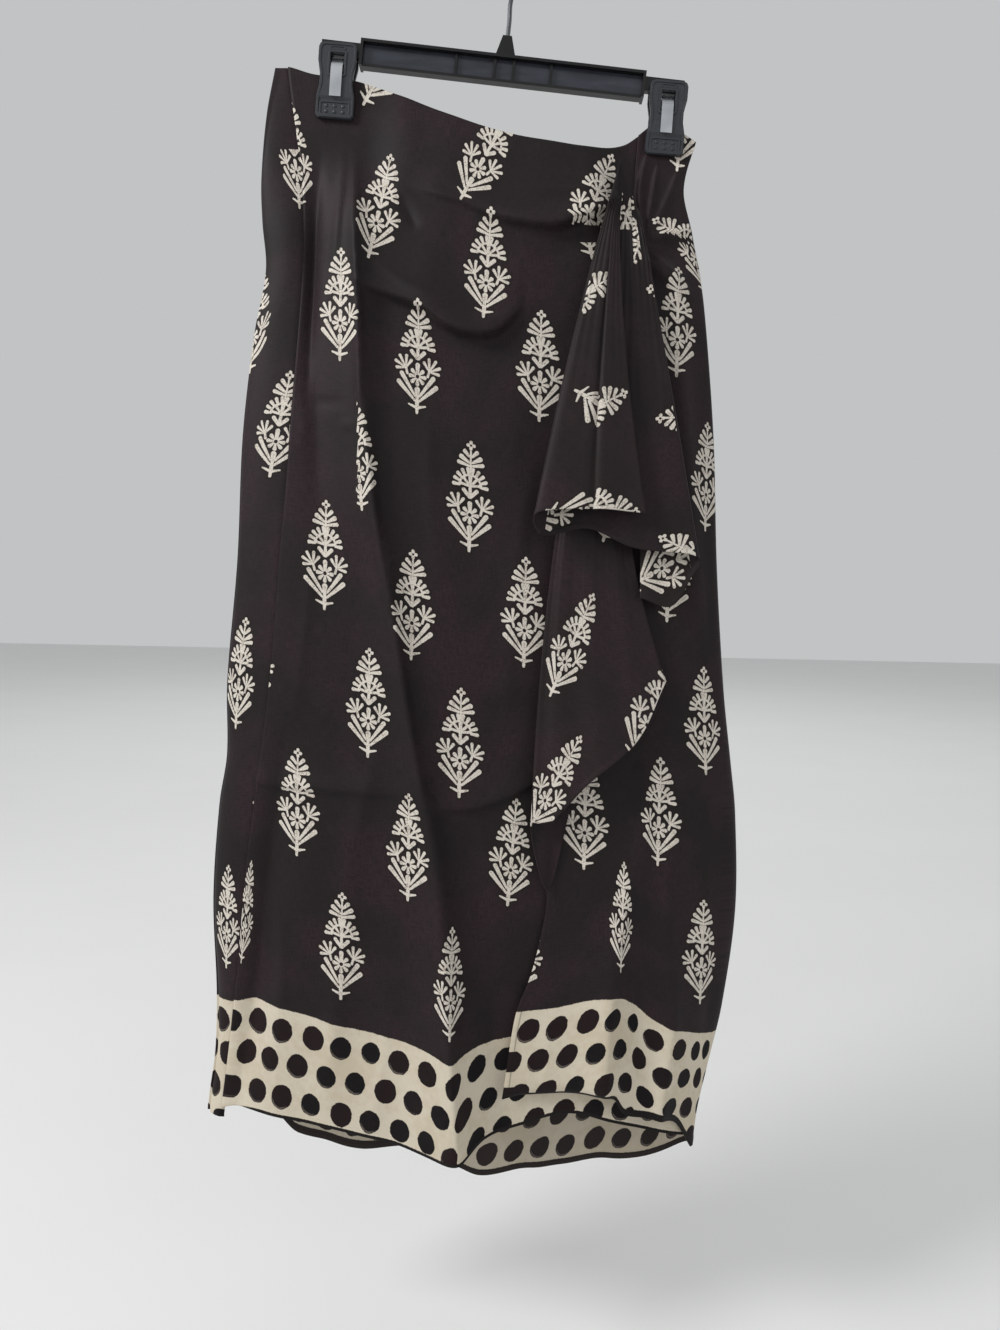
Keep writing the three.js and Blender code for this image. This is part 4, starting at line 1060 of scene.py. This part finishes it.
class Relief:  # small raised details on a jaw's outer face
    def __init__(self, pad, side):
        self.pad, self.side, self.points, self.faces = pad, side, [], []

    def place(self, loop, rise):
        first = len(self.points)
        self.points += [(x, self.side * (jawFaceAt(z, self.pad) + rise), z) for x, z in loop]
        return list(range(first, len(self.points)))

    def join(self, loops):
        for first, second in zip(loops, loops[1:]):
            for k in range(len(first)):
                self.faces.append((first[k - 1], first[k], second[k], second[k - 1]))

    def ring(self, outer, inner, rise):
        loops = [self.place(loop, at) for loop, at in ((outer, sunk), (outer, rise), (inner, rise), (inner, sunk))]
        self.join(loops + loops[:1])

    def dome(self, x, z, radius, rise):
        turns = np.linspace(0, 2 * math.pi, 15)[:-1]
        rings = []
        for share, at in ((1, sunk), (1, 0.0), (0.8, rise * 0.65), (0.35, rise)):
            loop = [(x + radius * share * math.cos(turn), z + radius * share * math.sin(turn)) for turn in turns]
            rings.append(self.place(loop, at))
        self.join(rings)
        self.faces += [tuple(rings[0]), tuple(rings[-1])]


frames = [  # raised frames: height on the jaw, outer and inner width, height and corner, then how far they stand out
    (-16, (14.4, 19.4, 1.6), (11.4, 16.4, 0.7), 0.7),
    (-4.4, (12.6, 3.4, 1.6), (10.6, 1.6, 0.7), 0.45),
    (-50, (24.0, 11.4, 2.2), (21.6, 9.0, 1.4), 0.6),
]
studs = [(x, z, 1.5, 0.7) for z in (-47.9, -52.2) for x in (-6.6, 0, 6.6)] + [(0, -41.4, 1.1, 0.5)]


def makeRelief(name, clip, pad, side, material):
    relief = Relief(pad, side)
    relief.ring(jawLoop(0.5), jawLoop(2.1), 0.55)
    for middle, outer, inner, rise in frames:
        relief.ring(roundedLoop(middle, *outer), roundedLoop(middle, *inner), rise)
    for stud in studs:
        relief.dome(*stud)
    mesh = bpy.data.meshes.new(name)
    turn = Matrix.Translation((clip[0], 0, clip[1])) @ Matrix.Rotation(cloth["clipLean"], 4, "Y")
    mesh.from_pydata([(turn @ Vector(point)) * millimetre for point in relief.points], [], relief.faces)
    shape = bmesh.new()
    shape.from_mesh(mesh)
    bmesh.ops.recalc_face_normals(shape, faces=shape.faces)
    shape.to_mesh(mesh)
    shape.free()
    piece = addObject(name, mesh)
    soften(piece, bevels["relief"])
    mesh.materials.append(material)
    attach(piece, "root")


for side, clip, pad in zip(("left", "right"), cloth["clips"], jawFacts["pads"]):
    makeRelief(f"clip_{side}_front_detail", clip, pad, -1, plastics["clip_plastic"])
    makeRelief(f"clip_{side}_back_detail", clip, jawFacts["backPad"], 1, plastics["clip_plastic"])
print("hanger dressed")

# floor, air and lights
studio = dict(
    floorHeight=-1.18, floorSize=12.0, pale=paint(226, 226, 225), worn=paint(216, 216, 215),
    air=paint(236, 238, 239), airStrength=0.64,
)


def makeStudio(facts):
    size, height = facts["floorSize"], facts["floorHeight"]
    mesh = bpy.data.meshes.new("floor")
    corners = [(x * size, y * size, height) for x, y in ((-1, -1), (1, -1), (1, 1), (-1, 1))]
    mesh.from_pydata(corners, [], [(0, 1, 2, 3)])
    shader = Shader("pale_floor", Roughness=0.8)
    cloudy = shader.noise(shader.coordinate("object"), 3.0)
    shader.feed("Base Color", shader.mix(shader.ramp(cloudy, 0.3, 0.7, 0.0, 0.15), facts["pale"], facts["worn"]))
    mesh.materials.append(shader.material)
    addObject("floor", mesh)
    world = bpy.data.worlds.new("pale_air")
    world.use_nodes = True
    background = world.node_tree.nodes["Background"]
    background.inputs["Color"].default_value = facts["air"]
    background.inputs["Strength"].default_value = facts["airStrength"]
    bpy.context.scene.world = world


lamps = dict(  # where each soft light stands, where it looks, its size and its power
    key=((-1.75, -1.0, 0.85), (0.0, 0.0, -0.5), 0.7, 37),
    fill=((1.3, -1.7, 0.1), (0.0, 0.0, -0.5), 1.4, 4),
    sky=((0.0, 3.6, 2.4), (0.0, 4.2, -1.2), 6.0, 62),
)



def makeLamp(name, place, aim, size, power):
    data = bpy.data.lights.new(name, "AREA")
    data.shape, data.size, data.energy = "DISK", size, power
    lamp = addObject(name, data)
    lamp.location = place
    lamp.rotation_euler = (Vector(aim) - Vector(place)).to_track_quat("-Z", "Y").to_euler()


makeStudio(studio)
for name, facts in lamps.items():
    makeLamp(name, *facts)
print("studio ready")
